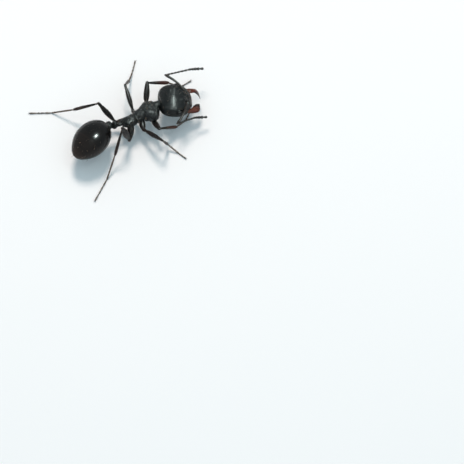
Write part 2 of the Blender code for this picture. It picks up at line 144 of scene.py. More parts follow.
# where the first solid meets the second: the middle, the direction into the second, and the face's corners
def meeting(first, second, reach=0.035):
    points, corners, _ = solid(first)
    other = solid(second)[2]
    near = np.array([other.find_nearest(Vector(p), reach)[0] is not None for p in points])
    faces = points[corners[near[corners].all(axis=1)]]
    turned = np.cross(faces[:, 1] - faces[:, 0], faces[:, 2] - faces[:, 0])
    areas = np.linalg.norm(turned, axis=1)
    middle = (faces.mean(axis=1) * areas[:, None]).sum(0) / areas.sum()
    return middle, unit(turned.sum(0)), faces.reshape(-1, 3)


# the centre of the ball at a bend: one radius in from the outer edge of the shared face
def bendOf(first, second):
    straight = 0.25  # below this the two solids lie in one line, and there is no bend
    middle, _, face = meeting(first, second)
    one, two = (unit(solid(name)[0].mean(0) - middle) for name in (first, second))
    inner = one + two
    if np.linalg.norm(inner) < straight:
        return middle
    inner = unit(inner)
    radius = np.ptp(face @ unit(np.cross(one, two))) / 2
    return middle + inner * ((face @ inner).min() + radius - middle @ inner)


# lowest and highest corner of some solids along a set of axes
def extent(names, axes):
    points = np.concatenate([solid(n)[0] for n in names]) @ axes.T
    return points.min(0), points.max(0)


# the direction from a point to the middle of a solid, and how far the solid reaches that way
def reachOf(name, start, level=False):
    points = solid(name)[0]
    onward = points.mean(0) - start
    if level:
        onward[2] = 0
    onward = unit(onward)
    return onward, ((points - start) @ onward).max()


# Making meshes: a shape is a dictionary of points, faces and marks. A mark is a value kept at each point:
# lie is the way that hairs lean, place the point's own place on the skin, hairy how thick the hairs stand,
# and rim how far the colour has turned to the finish's rim colour.
def gridPlaces(rings):
    count, around = rings.shape[:2]
    u, v = np.meshgrid(steps(count), np.arange(around) / around, indexing="ij")
    return np.stack([u, v, np.zeros_like(u)], -1)


# rings of points as a closed shape, with a fan of faces at each end
def closedShape(rings, lie, place=None, **marks):
    count, around = rings.shape[:2]
    index = np.arange(count * around).reshape(count, around)
    onward = np.roll(index, -1, axis=1)
    quads = np.stack([index[:-1], onward[:-1], onward[1:], index[1:]], -1).reshape(-1, 4)
    last = count * around
    fans = [[last, b, a] for a, b in zip(index[0].tolist(), onward[0].tolist())]
    fans += [[last + 1, a, b] for a, b in zip(index[-1].tolist(), onward[-1].tolist())]
    points = np.concatenate([rings.reshape(-1, 3), [rings[0].mean(0), rings[-1].mean(0)]])
    marks["lie"] = np.broadcast_to(lie, rings.shape)
    marks["place"] = gridPlaces(rings) if place is None else place
    for name, values in marks.items():
        values = np.broadcast_to(values, rings.shape[:2] + np.shape(values)[2:])
        flat = values.reshape((-1,) + values.shape[2:])
        marks[name] = np.concatenate([flat, [values[0].mean(0), values[-1].mean(0)]])
    a, b, c, d = (points[quads[:, k]] for k in range(4))
    volume = (np.cross(b, c) * a).sum() + (np.cross(c, d) * a).sum()
    faces = quads.tolist() + fans
    if volume < 0:
        faces = [f[::-1] for f in faces]
    return {"points": points, "faces": faces, "marks": marks}


# the direction that a grid of rings faces at each point
def outward(rings):
    around = np.roll(rings, -1, axis=1) - np.roll(rings, 1, axis=1)
    facing = unit(np.cross(around, np.gradient(rings, axis=0)))
    return facing * np.sign(((rings - rings.mean(axis=1, keepdims=True)) * facing).sum(-1).mean())


# rings drawn in about their middles, each with its size and its shift along X
def drawnIn(ring, turns):
    middle = ring.mean(axis=1, keepdims=True)
    return [middle + (ring - middle) * size + (shift, 0, 0) for size, shift in turns]


# the cosine and the sine of each step round a ring
def turnOf(around):
    turn = tau * np.arange(around) / around
    return np.cos(turn), np.sin(turn)


def joined(shapes):
    starts = np.cumsum([0] + [len(s["points"]) for s in shapes]).tolist()
    faces = [[i + start for i in f] for s, start in zip(shapes, starts) for f in s["faces"]]
    shared = sorted(set.intersection(*(set(s["marks"]) for s in shapes)))
    marks = {name: np.concatenate([s["marks"][name] for s in shapes]) for name in shared}
    return {"points": np.concatenate([s["points"] for s in shapes]), "faces": faces, "marks": marks}


def meshOf(name, shape, scale=1.0):
    mesh = bpy.data.meshes.new(name)
    mesh.from_pydata((shape["points"] * scale).tolist(), [], shape["faces"])
    for mark, values in shape["marks"].items():
        kind, what = ("FLOAT_VECTOR", "vector") if values.ndim == 2 else ("FLOAT", "value")
        mesh.attributes.new(mark, kind, "POINT").data.foreach_set(what, values.ravel())
    return mesh


def newObject(name, data):
    made = bpy.data.objects.new(name, data)
    bpy.context.scene.collection.objects.link(made)
    return made


def addMesh(name, mesh, finish, nodes=()):
    spare = ["lie", "place", "hairy", "size", "patch"] + ["rim"] * ("rim" not in finishes[finish])
    for mark in spare:
        if mark in mesh.attributes:
            mesh.attributes.remove(mesh.attributes[mark])
    mesh.shade_smooth()
    mesh.materials.clear()
    mesh.materials.append(materials[finish])
    piece = newObject(name, mesh)
    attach(piece, "root")
    if nodes:
        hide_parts(*nodes)


def addPiece(name, shape, finish, nodes=()):
    addMesh(name, meshOf(name, shape, mm), finish, nodes)


# Runs a tree of Geometry Nodes on a shape and adds the plain mesh that comes out, turned and moved.
def addGrown(name, which, shape, finish, nodes=(), turn=np.eye(3), move=0.0, slotName=None, **values):
    tree = trees[which]
    holder = newObject(name + "Holder", meshOf(name + "Holder", shape))
    modifier = holder.modifiers.new(name, "NODES")
    modifier.node_group = tree
    labels = {item.name: item.identifier for item in tree.interface.items_tree if item.in_out == "INPUT"}
    for label, value in {"Material": materials[finish], **values}.items():
        modifier[labels[label]] = value
    mesh = bpy.data.meshes.new_from_object(holder.evaluated_get(bpy.context.evaluated_depsgraph_get()))
    holder.modifiers.remove(modifier)
    bpy.data.objects.remove(holder)
    points = threesOf(mesh.vertices, "co") @ turn + move
    points[:, 2] = np.maximum(points[:, 2], lowest)
    mesh.vertices.foreach_set("co", (points * mm).ravel())
    mesh.update()
    addMesh(name, mesh, finish, nodes)
    return mesh


# A tube with rounded ends. Its section is squeezed by flat along the across direction. rim lists where it
# turns to the finish's rim colour, from one share of its length to another, and how far.
def tubeShape(path, radii, around=18, flat=1.0, across=(0, 0, 1), hairy=1.0, bumps=0.0, seed=0.0, rim=()):
    grain = 14  # how fine the bumps are
    path = np.array(path, float)
    radii = np.broadcast_to(radii, len(path))
    tangents = unit(np.gradient(path, axis=0))
    ends = np.radians([14, 38, 64])
    front = path[0] - tangents[0] * radii[0] * np.cos(ends)[:, None]
    back = path[-1] + tangents[-1] * radii[-1] * np.cos(ends[::-1])[:, None]
    centres = np.concatenate([front, path, back])
    sizes = np.concatenate([radii[0] * np.sin(ends), radii, radii[-1] * np.sin(ends[::-1])])
    lie = np.concatenate([tangents[:1]] * 3 + [tangents] + [tangents[-1:]] * 3)
    first = unit(np.cross(np.cross(lie, across), lie))
    second = np.cross(lie, first)
    c, s = (values[None, :, None] for values in turnOf(around))
    rings = centres[:, None] + sizes[:, None, None] * (flat * c * first[:, None] + s * second[:, None])
    if bumps:
        rings = rings + outward(rings) * (bumps * roughness(rings, grain, seed))[..., None]
    along = steps(len(centres))[:, None]
    turned = [0 * along] + [most * ease(low, high, along) for low, high, most in rim]
    return closedShape(rings, lie[:, None], hairy=hairy, rim=np.max(turned, axis=0))


def between(start, end, count):
    return start + (end - start) * steps(count)[:, None]


# a straight tube whose radii are given at shares of its length
def limb(start, end, radii, count, stout=1.0, **settings):
    radii = stout * smoothThrough(radii)(steps(count))
    return tubeShape(between(start, end, count), radii, **settings)


# Points round a section, from its half width and its heights above and below its middle. square is 2 for an
# oval, and more is squarer.
def section(x, wide, up, down, c, s, square=2):
    power = 2 / square
    y = wide * np.abs(c) ** power * np.sign(c)
    z = np.where(s > 0, up, down) * np.abs(s) ** power * np.sign(s)
    return np.stack([np.broadcast_to(x, y.shape), y, z], -1)


def sizesAt(form, shares):
    return [smoothThrough(form[k])(shares)[:, None] for k in ("halfWidth", "top", "bottom")]


# rings of an egg on its side, from its front (share 0) to its back (share 1)
def eggRings(form, shares, around):
    run = 2 * shares - 1
    blunt = np.where(run > 0, form["backBlunt"], form["frontBlunt"])
    cap = np.maximum(1 - np.abs(run) ** blunt, 0) ** (1 / blunt)
    sizes = (size * cap[:, None] for size in sizesAt(form, shares))
    return section((shares * form["length"])[:, None], *sizes, *turnOf(around), form["square"])


# Nodes: an input is given a value, or the socket of another node to be linked from. put returns the outputs.
def fill(tree, node, values):
    for socket, value in values.items():
        if isinstance(value, bpy.types.NodeSocket):
            tree.links.new(value, node.inputs[socket])
        else:
            node.inputs[socket].default_value = value


def put(tree, kind, values=None, **settings):
    node = tree.nodes.new(kind)
    for key, value in settings.items():
        setattr(node, key, value)
    fill(tree, node, values or {})
    return node.outputs


def math(tree, operation, *terms):
    return put(tree, "ShaderNodeMath", dict(enumerate(terms)), operation=operation)[0]


def vectors(tree, operation, *terms):
    return put(tree, "ShaderNodeVectorMath", dict(enumerate(terms)), operation=operation)[0]


def noiseIn(tree, vector, scale, detail, rough):
    values = {"Vector": vector, "Scale": scale, "Detail": detail, "Roughness": rough}
    return put(tree, "ShaderNodeTexNoise", values)["Fac"]


# Each input has its default beside its name, or the kind of its socket where it has none.
def newTree(kind, name, build, output, **inputs):
    tree = bpy.data.node_groups.new(name, kind)
    kinds = {int: "Int", float: "Float", tuple: "Vector"}
    for label, value in inputs.items():
        socketKind = value if isinstance(value, str) else kinds[type(value)]
        socket = tree.interface.new_socket(label, in_out="INPUT", socket_type="NodeSocket" + socketKind)
        if not isinstance(value, str):
            socket.default_value = value
    outputKind = "NodeSocketGeometry" if output == "Geometry" else "NodeSocketFloat"
    tree.interface.new_socket(output, in_out="OUTPUT", socket_type=outputKind)
    given = tree.nodes.new("NodeGroupInput").outputs
    put(tree, "NodeGroupOutput", {0: build(tree, given)})
    return tree


# Shader groups put out masks and heights only. This one is a cloudy mask.
def mottle(tree, given):
    cloud = noiseIn(tree, given["Vector"], given["Scale"], detail=4.0, rough=0.6)
    spread = math(tree, "MULTIPLY", math(tree, "SUBTRACT", cloud, 0.5), given["Sharpness"])
    return put(tree, "ShaderNodeClamp", {0: math(tree, "ADD", spread, 0.5)})[0]


# long fine grooves that run along X of the vector
def grooves(tree, given):
    finer = math(tree, "DIVIDE", 1.0, given["Spacing"])
    slower = math(tree, "DIVIDE", finer, given["Length"])
    stretch = put(tree, "ShaderNodeCombineXYZ", {0: slower, 1: finer, 2: finer})[0]
    stretched = vectors(tree, "MULTIPLY", given["Vector"], stretch)
    lines = noiseIn(tree, stretched, scale=1.0, detail=2.0, rough=0.5)
    return math(tree, "MULTIPLY", math(tree, "ABSOLUTE", math(tree, "SUBTRACT", lines, 0.5)), 4.0)


# fine pits where hairs and pores stand
def pits(tree, given):
    values = {"Vector": given["Vector"], "Scale": given["Scale"], "Randomness": 0.9}
    cells = put(tree, "ShaderNodeTexVoronoi", values)["Distance"]
    return math(tree, "MINIMUM", math(tree, "DIVIDE", cells, given["Size"]), 1.0)


# pale dust on what faces up
def dust(tree, given):
    normal = put(tree, "ShaderNodeNewGeometry")["Normal"]
    facingUp = math(tree, "MAXIMUM", put(tree, "ShaderNodeSeparateXYZ", {0: normal})[2], 0.0)
    cloud = noiseIn(tree, given["Vector"], scale=26.0, detail=5.0, rough=0.75)
    specks = math(tree, "POWER", cloud, 3.0)
    return math(tree, "MULTIPLY", math(tree, "MULTIPLY", facingUp, specks), given["Amount"])


def shaderGroup(name, build, output, **inputs):
    return newTree("ShaderNodeTree", name, build, output, Vector="Vector", **inputs)


groups = {
    "mottle": shaderGroup("shellMottle", mottle, "Mask", Scale=6.0, Sharpness=2.0),
    "grooves": shaderGroup("fineGrooves", grooves, "Height", Spacing=0.03, Length=8.0),
    "pits": shaderGroup("shellPits", pits, "Height", Scale=40.0, Size=0.3),
    "dust": shaderGroup("settledDust", dust, "Mask", Amount=0.1),
}


def placeGroup(tree, which, vector, **values):
    return put(tree, "ShaderNodeGroup", {"Vector": vector, **values}, node_tree=groups[which])[0]


def mixColours(tree, mask, first, second):
    first, second = ((*c, 1.0) if isinstance(c, tuple) else c for c in (first, second))
    return put(tree, "ShaderNodeMix", {0: mask, 6: first, 7: second}, data_type="RGBA")[2]


def newMaterial(name):
    material = bpy.data.materials.new(name)
    material.use_nodes = True
    return material, material.node_tree, material.node_tree.nodes["Principled BSDF"]


shellLook = {"coatRoughness": 0.1, "specular": 0.5, "dustColour": (0.42, 0.4, 0.37)}


# One shell finish. heading and pitch turn its grooves to the piece's own length.
def shellMaterial(name, look):
    material, tree, shader = newMaterial(name)
    turn = (0, radians(-look.get("pitch", 0)), radians(look.get("heading", 0)))
    values = {"Vector": put(tree, "ShaderNodeTexCoord")["Object"], "Rotation": turn, "Scale": (mm, mm, mm)}
    vector = put(tree, "ShaderNodeMapping", values, vector_type="TEXTURE")[0]
    mask = placeGroup(tree, "mottle", vector, Scale=look["mottle"])
    colour = mixColours(tree, mask, look["colour"], look["tint"])
    if "rim" in look:
        rim = put(tree, "ShaderNodeAttribute", attribute_name="rim")["Fac"]
        colour = mixColours(tree, rim, colour, look["rim"])
    settled = placeGroup(tree, "dust", vector, Amount=look.get("dust", 0.0))
    low, high = look["roughness"]
    relief = {}
    for which, *inputs, depth in look["relief"]:
        height = placeGroup(tree, which, vector, **dict(zip(reliefInputs[which], inputs)))
        values = {"Strength": 1.0, "Distance": depth * mm, "Height": height, **relief}
        relief = {"Normal": put(tree, "ShaderNodeBump", values)["Normal"]}
    fill(tree, shader, {
        "Base Color": mixColours(tree, settled, colour, shellLook["dustColour"]),
        "Roughness": put(tree, "ShaderNodeMapRange", {"Value": mask, "To Min": low, "To Max": high})[0],
        "Coat Weight": look.get("coat", 0.0), "Coat Roughness": shellLook["coatRoughness"],
        "Specular IOR Level": look.get("specular", shellLook["specular"]), **relief,
    })
    return material


headPose = {"heading": -24, "pitch": -14}
gasterPose = {"heading": 198.4, "pitch": -4}

# Each layer of relief names its group, that group's inputs and its depth.
reliefInputs = {"grooves": ("Spacing", "Length"), "pits": ("Scale", "Size")}
finishes = {
    "head": {
        "colour": (0.002, 0.0027, 0.0026), "tint": (0.0046, 0.0058, 0.0055), "mottle": 5.0,
        "relief": [("grooves", 0.016, 9.0, 0.003), ("pits", 24.0, 0.16, 0.0015)], "roughness": (0.18, 0.26),
        "rim": (0.04, 0.013, 0.01), "dust": 0.02, "specular": 0.3, "slot": "head_shell", **headPose,
    },
    "trunk": {
        "colour": (0.0032, 0.004, 0.004), "tint": (0.008, 0.0096, 0.0094), "mottle": 7.0,
        "relief": [("grooves", 0.018, 4.0, 0.005), ("pits", 36.0, 0.4, 0.003)], "roughness": (0.14, 0.3),
        "dust": 0.08, "specular": 0.3, "slot": "trunk_shell",
    },
    "gaster": {
        "colour": (0.003, 0.003, 0.0032), "tint": (0.007, 0.0055, 0.0048), "mottle": 2.2,
        "relief": [("grooves", 0.012, 3.0, 0.0005), ("pits", 9.0, 0.07, 0.004)], "roughness": (0.17, 0.24),
        "rim": (0.03, 0.018, 0.013), "coat": 0.05, "dust": 0.02, "specular": 0.17, "slot": "gaster_shell",
        **gasterPose,
    },
    "leg": {
        "colour": (0.008, 0.0075, 0.0075), "tint": (0.018, 0.0115, 0.01), "mottle": 4.0,
        "relief": [("pits", 30.0, 0.22, 0.003), ("grooves", 0.02, 3.0, 0.0015)], "roughness": (0.28, 0.4),
        "rim": (0.075, 0.022, 0.014), "dust": 0.03, "specular": 0.22, "slot": "leg_shell",
    },
    "foot": {
        "colour": (0.05, 0.033, 0.024), "tint": (0.11, 0.068, 0.044), "mottle": 9.0,
        "relief": [("pits", 60.0, 0.3, 0.0015)], "roughness": (0.3, 0.42),
        "rim": (0.02, 0.012, 0.01), "dust": 0.05, "slot": "foot_shell",
    },
    "jaw": {
        "colour": (0.065, 0.014, 0.008), "tint": (0.11, 0.027, 0.014), "mottle": 6.0,
        "relief": [("grooves", 0.022, 7.0, 0.003), ("pits", 34.0, 0.2, 0.002)], "roughness": (0.2, 0.34),
        "rim": (0.008, 0.004, 0.0035), "coat": 0.05, "specular": 0.22, "slot": "mandible_shell", **headPose,
    },
    "lens": {
        "colour": (0.006, 0.006, 0.007), "tint": (0.02, 0.019, 0.018), "mottle": 12.0,
        "relief": [("pits", 90.0, 0.5, 0.0004)], "roughness": (0.2, 0.3),
        "coat": 0.05, "specular": 0.2, "slot": "eye_lens",
    },
    "hair": {
        "colour": (0.16, 0.12, 0.075), "tint": (0.3, 0.23, 0.15), "mottle": 12.0,
        "relief": [("grooves", 0.004, 8.0, 0.0003)], "roughness": (0.35, 0.5),
    },
}
materials = {name: shellMaterial(name + "Finish", look) for name, look in finishes.items()}
print("finishes ready:", len(materials))


def stored(tree, name, kind="FLOAT_VECTOR"):
    return put(tree, "GeometryNodeInputNamedAttribute", {"Name": name}, data_type=kind)[0]


def store(tree, geometry, name, value):
    values = {"Geometry": geometry, "Name": name, "Value": value}
    return put(tree, "GeometryNodeStoreNamedAttribute", values, data_type="FLOAT2", domain="CORNER")[0]


def scaled(tree, vector, scale):
    return put(tree, "ShaderNodeVectorMath", {0: vector, "Scale": scale}, operation="SCALE")[0]


def turnedTo(tree, axis, vector, **values):
    kind = "FunctionNodeAlignRotationToVector"
    return put(tree, kind, {"Vector": vector, **values}, axis=axis, pivot_axis="Z" if values else "AUTO")[0]


def moved(tree, geometry, **values):
    return put(tree, "GeometryNodeSetPosition", {"Geometry": geometry, **values})[0]


# copies of a mesh on points
def copied(tree, points, mesh, turn, scale):
    values = {"Points": points, "Instance": mesh, "Rotation": turn, "Scale": scale}
    return realized(tree, put(tree, "GeometryNodeInstanceOnPoints", values)[0])


def realized(tree, geometry):
    return put(tree, "GeometryNodeRealizeInstances", {0: geometry})[0]


def inMaterial(tree, geometry, given):
    return put(tree, "GeometryNodeSetMaterial", {"Geometry": geometry, "Material": given["Material"]})[0]


hairLook = {"sides": 3, "rings": 5, "tip": 0.0006, "longest": 1.25, "patch": 0.003}


# Hairs that stand on a skin, lean along its lie and bend over.
def hairs(tree, given):
    length, seed = given["Length"], given["Seed"]
    density = math(tree, "MULTIPLY", given["Density"], stored(tree, "hairy", "FLOAT"))
    values = {"Mesh": given["Geometry"], "Density": density, "Seed": seed}
    spots = put(tree, "GeometryNodeDistributePointsOnFaces", values)
    lie = stored(tree, "lie")
    leaning = vectors(tree, "ADD", spots["Normal"], scaled(tree, lie, given["Lean"]))
    values = {0: (-1, -1, -1), 1: (1, 1, 1), "Seed": seed}
    stray = put(tree, "FunctionNodeRandomValue", values, data_type="FLOAT_VECTOR")[0]
    aim = vectors(tree, "ADD", leaning, scaled(tree, stray, given["Spread"]))
    turn = turnedTo(tree, "X", lie, Rotation=turnedTo(tree, "Z", aim))
    values = {
        "Vertices": hairLook["sides"], "Side Segments": hairLook["rings"], "Radius Top": hairLook["tip"],
        "Radius Bottom": given["Thickness"], "Depth": length,
    }
    hair = put(tree, "GeometryNodeMeshCone", values, fill_type="NGON")
    height = put(tree, "ShaderNodeSeparateXYZ", {0: put(tree, "GeometryNodeInputPosition")[0]})["Z"]
    share = math(tree, "DIVIDE", height, length)
    bent = math(tree, "MULTIPLY", math(tree, "MULTIPLY", share, share), given["Bend"])
    shift = put(tree, "ShaderNodeCombineXYZ", {"X": math(tree, "MULTIPLY", bent, length)})[0]
    shaped = moved(tree, store(tree, hair["Mesh"], "patch", hair["UV Map"]), Offset=shift)
    values = {2: given["Shortest"], 3: hairLook["longest"], "Seed": seed}
    size = put(tree, "FunctionNodeRandomValue", values, data_type="FLOAT")[1]
    coat = copied(tree, spots["Points"], shaped, turn, size)
    # on the coat's own map each hair has a small patch at the place of its root
    small = scaled(tree, stored(tree, "patch"), hairLook["patch"])
    mapped = store(tree, coat, "OFBake", vectors(tree, "ADD", stored(tree, "place"), small))
    return inMaterial(tree, mapped, given)


# the width of a small joint at shares of its length
jointForm = {0: 0.34, 0.06: 0.5, 0.14: 0.58, 0.45: 0.86, 0.8: 1.0, 0.94: 0.9, 1: 0.5}


# Small shell joints set in a row, each a bell that widens to its far end.
def joints(tree, given):
    values = {"Radius": 1.0, "Depth": 1.0, "Vertices": given["Sides"], "Side Segments": given["Rings"]}
    joint = put(tree, "GeometryNodeMeshCylinder", values, fill_type="TRIANGLE_FAN")["Mesh"]
    place = put(tree, "GeometryNodeInputPosition")[0]
    share = math(tree, "ADD", put(tree, "ShaderNodeSeparateXYZ", {0: place})["Z"], 0.5)
    width = put(tree, "ShaderNodeFloatCurve", {"Value": share})[0]
    line = width.node.mapping.curves[0]
    for at, value in list(jointForm.items())[1:-1]:
        line.points.new(at, value)
    for end in (0, -1):
        line.points[end].location = list(jointForm.items())[end]
    width.node.mapping.update()
    size = put(tree, "ShaderNodeCombineXYZ", {"X": width, "Y": width, "Z": 1.0})[0]
    shaped = moved(tree, joint, Position=vectors(tree, "MULTIPLY", place, size))
    turn = turnedTo(tree, "Z", stored(tree, "lie"))
    return inMaterial(tree, copied(tree, given["Geometry"], shaped, turn, stored(tree, "size")), given)


# A compound eye: a ball of six-sided lenses, each raised with a smaller top.
def lenses(tree, given):
    ball = put(tree, "GeometryNodeMeshIcoSphere", {"Subdivisions": given["Detail"]})["Mesh"]
    cells = put(tree, "GeometryNodeDualMesh", {"Mesh": ball})[0]
    values = {"Individual": True, "Mesh": cells, "Offset Scale": given["Raise"]}
    raised = put(tree, "GeometryNodeExtrudeMesh", values, mode="FACES")
    values = {"Geometry": raised["Mesh"], "Selection": raised["Top"], "Scale": given["Top"]}
    domed = put(tree, "GeometryNodeScaleElements", values)[0]
    place = put(tree, "GeometryNodeInputPosition")[0]
    shaped = moved(tree, domed, Position=vectors(tree, "MULTIPLY", place, given["Size"]))
    return inMaterial(tree, realized(tree, shaped), given)


def shapeTree(name, build, **inputs):
    inputs = {"Geometry": "Geometry", **inputs, "Material": "Material"}
    return newTree("GeometryNodeTree", name, build, "Geometry", **inputs)


trees = {
    "hairs": shapeTree(
        "shellHairs", hairs, Density=40.0, Length=0.15, Thickness=0.005, Lean=0.5, Spread=0.3, Bend=0.2,
        Shortest=0.5, Seed=1
    ),
    "joints": shapeTree("shellJoints", joints, Sides=14, Rings=12),
    "lenses": shapeTree("eyeLenses", lenses, Detail=4, Raise=0.03, Top=0.7, Size=(1, 1, 1)),
}

headForm = {
    "length": 1.48, "frontBlunt": 3.2, "backBlunt": 3.1, "square": 2.4,
    "halfWidth": {0: 0.6, 0.25: 0.7, 0.6: 0.73, 1: 0.68},
    "top": {0: 0.26, 0.25: 0.43, 0.6: 0.52, 1: 0.44},
    "bottom": {0: 0.22, 0.25: 0.38, 0.6: 0.48, 1: 0.42},
}
headBumps = {
    "feelerRidge": ((0.36, 0.155, 0.42), (0.17, 0.05, 0.2), 0.05),
    "feelerPit": ((0.44, 0.25, 0.34), (0.1, 0.075, 0.14), -0.06),
    "furrow": ((0.46, 0, 0.4), (0.1, 0.06, 0.2), -0.022),
    "jawPit": ((0.68, 0.47, 0.0), (0.09, 0.13, 0.13), -0.05),
    "mouth": ((0.62, 0, -0.34), (0.2, 0.26, 0.14), -0.07),
    "backDip": ((-0.76, 0, 0.14), (0.16, 0.3, 0.34), -0.035),
    "neckPit": ((-0.74, 0, -0.04), (0.12, 0.15, 0.15), -0.05),
    "throatLine": ((0.1, 0, -0.5), (0.5, 0.03, 0.2), -0.012),
}
headLook = {
    "rings": 130, "around": 504, "grooves": 84, "grooveDepth": 0.0036, "inset": 0.004, "unevenness": 0.004,
    "level": 0.48,  # where its middle lies between the lowest and highest point of the solid
    "plate": 0.022, "plateEdge": 0.014,  # height of the plate above the jaws and depth of the line round it
    "eyeGroove": 0.016, "eyeRim": 0.012, "eyeHollow": 0.05,
    "wander": [(0.35, 4.5, 7.7), (0.12, 14, 1.3)], "reddened": 0.5,
    # where the plate, the grooves and the red come in, each from none to full
    "plateFront": (0.5, 0.56), "plateUp": (-0.16, -0.06), "plateSides": (0.34, 0.28),
    "grooveBack": (-0.72, -0.6), "grooveFront": (0.72, 0.56), "grooveUp": (-0.42, -0.2),
    "redFront": (0.56, 0.76),
}
feelerSocket = (0.42, 0.24, 0.38)
jawHinge = (0.62, 0.48, 0.02)

headAxes = axesAt(**headPose)
low, high = extent(["head"], headAxes)
headMiddle = [(low[0] + high[0]) / 2, (low[1] + high[1]) / 2, low[2] + headLook["level"] * (high[2] - low[2])]
headCentre = np.array(headMiddle) @ headAxes


def inHead(points):
    return headCentre + np.asarray(points, float) @ headAxes


eyes = {}
for side in sides:
    low, high = extent([side + "_eye"], headAxes)
    eyes[side] = ((low + high) / 2 - headCentre @ headAxes.T, (high - low) / 2)


# distance from the middle of an eye, 1 at its edge
def fromEye(p, side):
    centre, half = eyes[side]
    return np.sqrt(((p[..., 0] - centre[0]) / half[0]) ** 2 + ((p[..., 2] - centre[2]) / half[2]) ** 2)


def headRelief(p, places):
    x, y, z = p[..., 0], p[..., 1], p[..., 2]
    lift = bumpsOf(p, headBumps) + headLook["unevenness"] * roughness(p, 5, 3.1)
    front = ease(*headLook["plateFront"], x) * ease(*headLook["plateUp"], z)
    plate = front * ease(*headLook["plateSides"], np.abs(y))
    lift += headLook["plate"] * plate - headLook["plateEdge"] * front * bell(np.abs(y), 0.33, 0.025)
    for side, sign in sides.items():
        away = fromEye(p, side)
        rings = headLook["eyeRim"] * bell(away, 1.22, 0.1) - headLook["eyeGroove"] * bell(away, 1.0, 0.1)
        lift += (rings - headLook["eyeHollow"] * ease(1.0, 0.85, away)) * ease(0.2, 0.5, y * sign)
    # the grooves run from front to back and fade before the edges of the head
    fade = ease(*headLook["grooveBack"], x) * ease(*headLook["grooveFront"], x)
    fade = fade * ease(*headLook["grooveUp"], z) * (1 - plate)
    wander = layered(p, headLook["wander"])
    lines = np.sin(tau * headLook["grooves"] * places[..., 1] + tau * wander)
    uneven = 0.75 + 0.5 * roughness(p, (3, 12, 12), 5.0)
    return lift + headLook["grooveDepth"] * fade * lines * uneven


def makeHead():
    shares = (1 - np.cos(pi * np.linspace(0.012, 0.988, headLook["rings"]))) / 2  # closer at the ends
    rings = eggRings(headForm, shares, headLook["around"])
    rings[..., 0] = headForm["length"] / 2 - rings[..., 0]
    lift = headRelief(rings, gridPlaces(rings)) - headLook["inset"]
    rings = rings + outward(rings) * lift[..., None]
    x, y, z = rings[..., 0], rings[..., 1], rings[..., 2]
    bare = np.ones(x.shape)
    for side, sign in sides.items():
        bare *= 1 - ease(1.3, 1.1, fromEye(rings, side)) * (y * sign > 0.2)
    # hairs stand thicker at the front and below
    hairy = bare * (0.5 + 0.5 * ease(0.2, 0.7, x) + 0.6 * ease(-0.1, -0.4, z))
    rim = headLook["reddened"] * ease(*headLook["redFront"], x)
    return closedShape(inHead(rings), headAxes[0], rim=rim, hairy=hairy)


headShape = makeHead()
addPiece("headShell", headShape, "head", ["head"])

eyeLook = {"Detail": 4, "Raise": 0.035, "Top": 0.72}
eyeTurn = -6  # degrees
eyeFit = 0.97  # share of the solid's size
dot = {"points": np.zeros((3, 3)), "faces": [], "marks": {}}
for side, sign in sides.items():
    centre, half = eyes[side]
    look = {"Size": tuple(half * eyeFit), "turn": axesAt(eyeTurn * sign, 0) @ headAxes, **eyeLook}
    addGrown(side + "Eye", "lenses", dot, "lens", [side + "_eye"], move=inHead(centre), **look)
print("head and eyes made")

# Jaws: each a blade between an outer and an inner curve, with teeth on the inner one.
jawLook = {
    "outer": [(-0.16, -0.12), (0.12, -0.11), (0.31, -0.075), (0.44, -0.01), (0.51, 0.13), (0.52, 0.37)],
    "inner": [(-0.16, 0.09), (0.03, 0.1), (0.13, 0.16), (0.24, 0.26), (0.35, 0.34), (0.5, 0.39)],
    "thickness": {0: 0.2, 0.45: 0.19, 0.75: 0.15, 1: 0.1}, "rings": 120, "around": 28,
    "teeth": 6, "tooth": 0.034, "toothWidth": 0.8, "toothLevel": 0.35, "toothedFrom": 0.5, "toothed": 0.46,
    "droop": 5, "hang": 0.05, "opening": {"left": 9, "right": -1},
    "roll": {"left": 34, "right": 3}, "rollAside": (0.3, 1.0), "rolled": (0.2, 0.55), "thinned": 0.5,
    # where the teeth stand and where it is dark: across it, along its inner edge and at its tip
    "toothIn": (0.46, 0.56), "toothOut": (1.0, 0.93),
    "darkAcross": (0.45, 1.0), "darkInner": (0.4, 0.62), "darkTip": (0.62, 0.92),
}


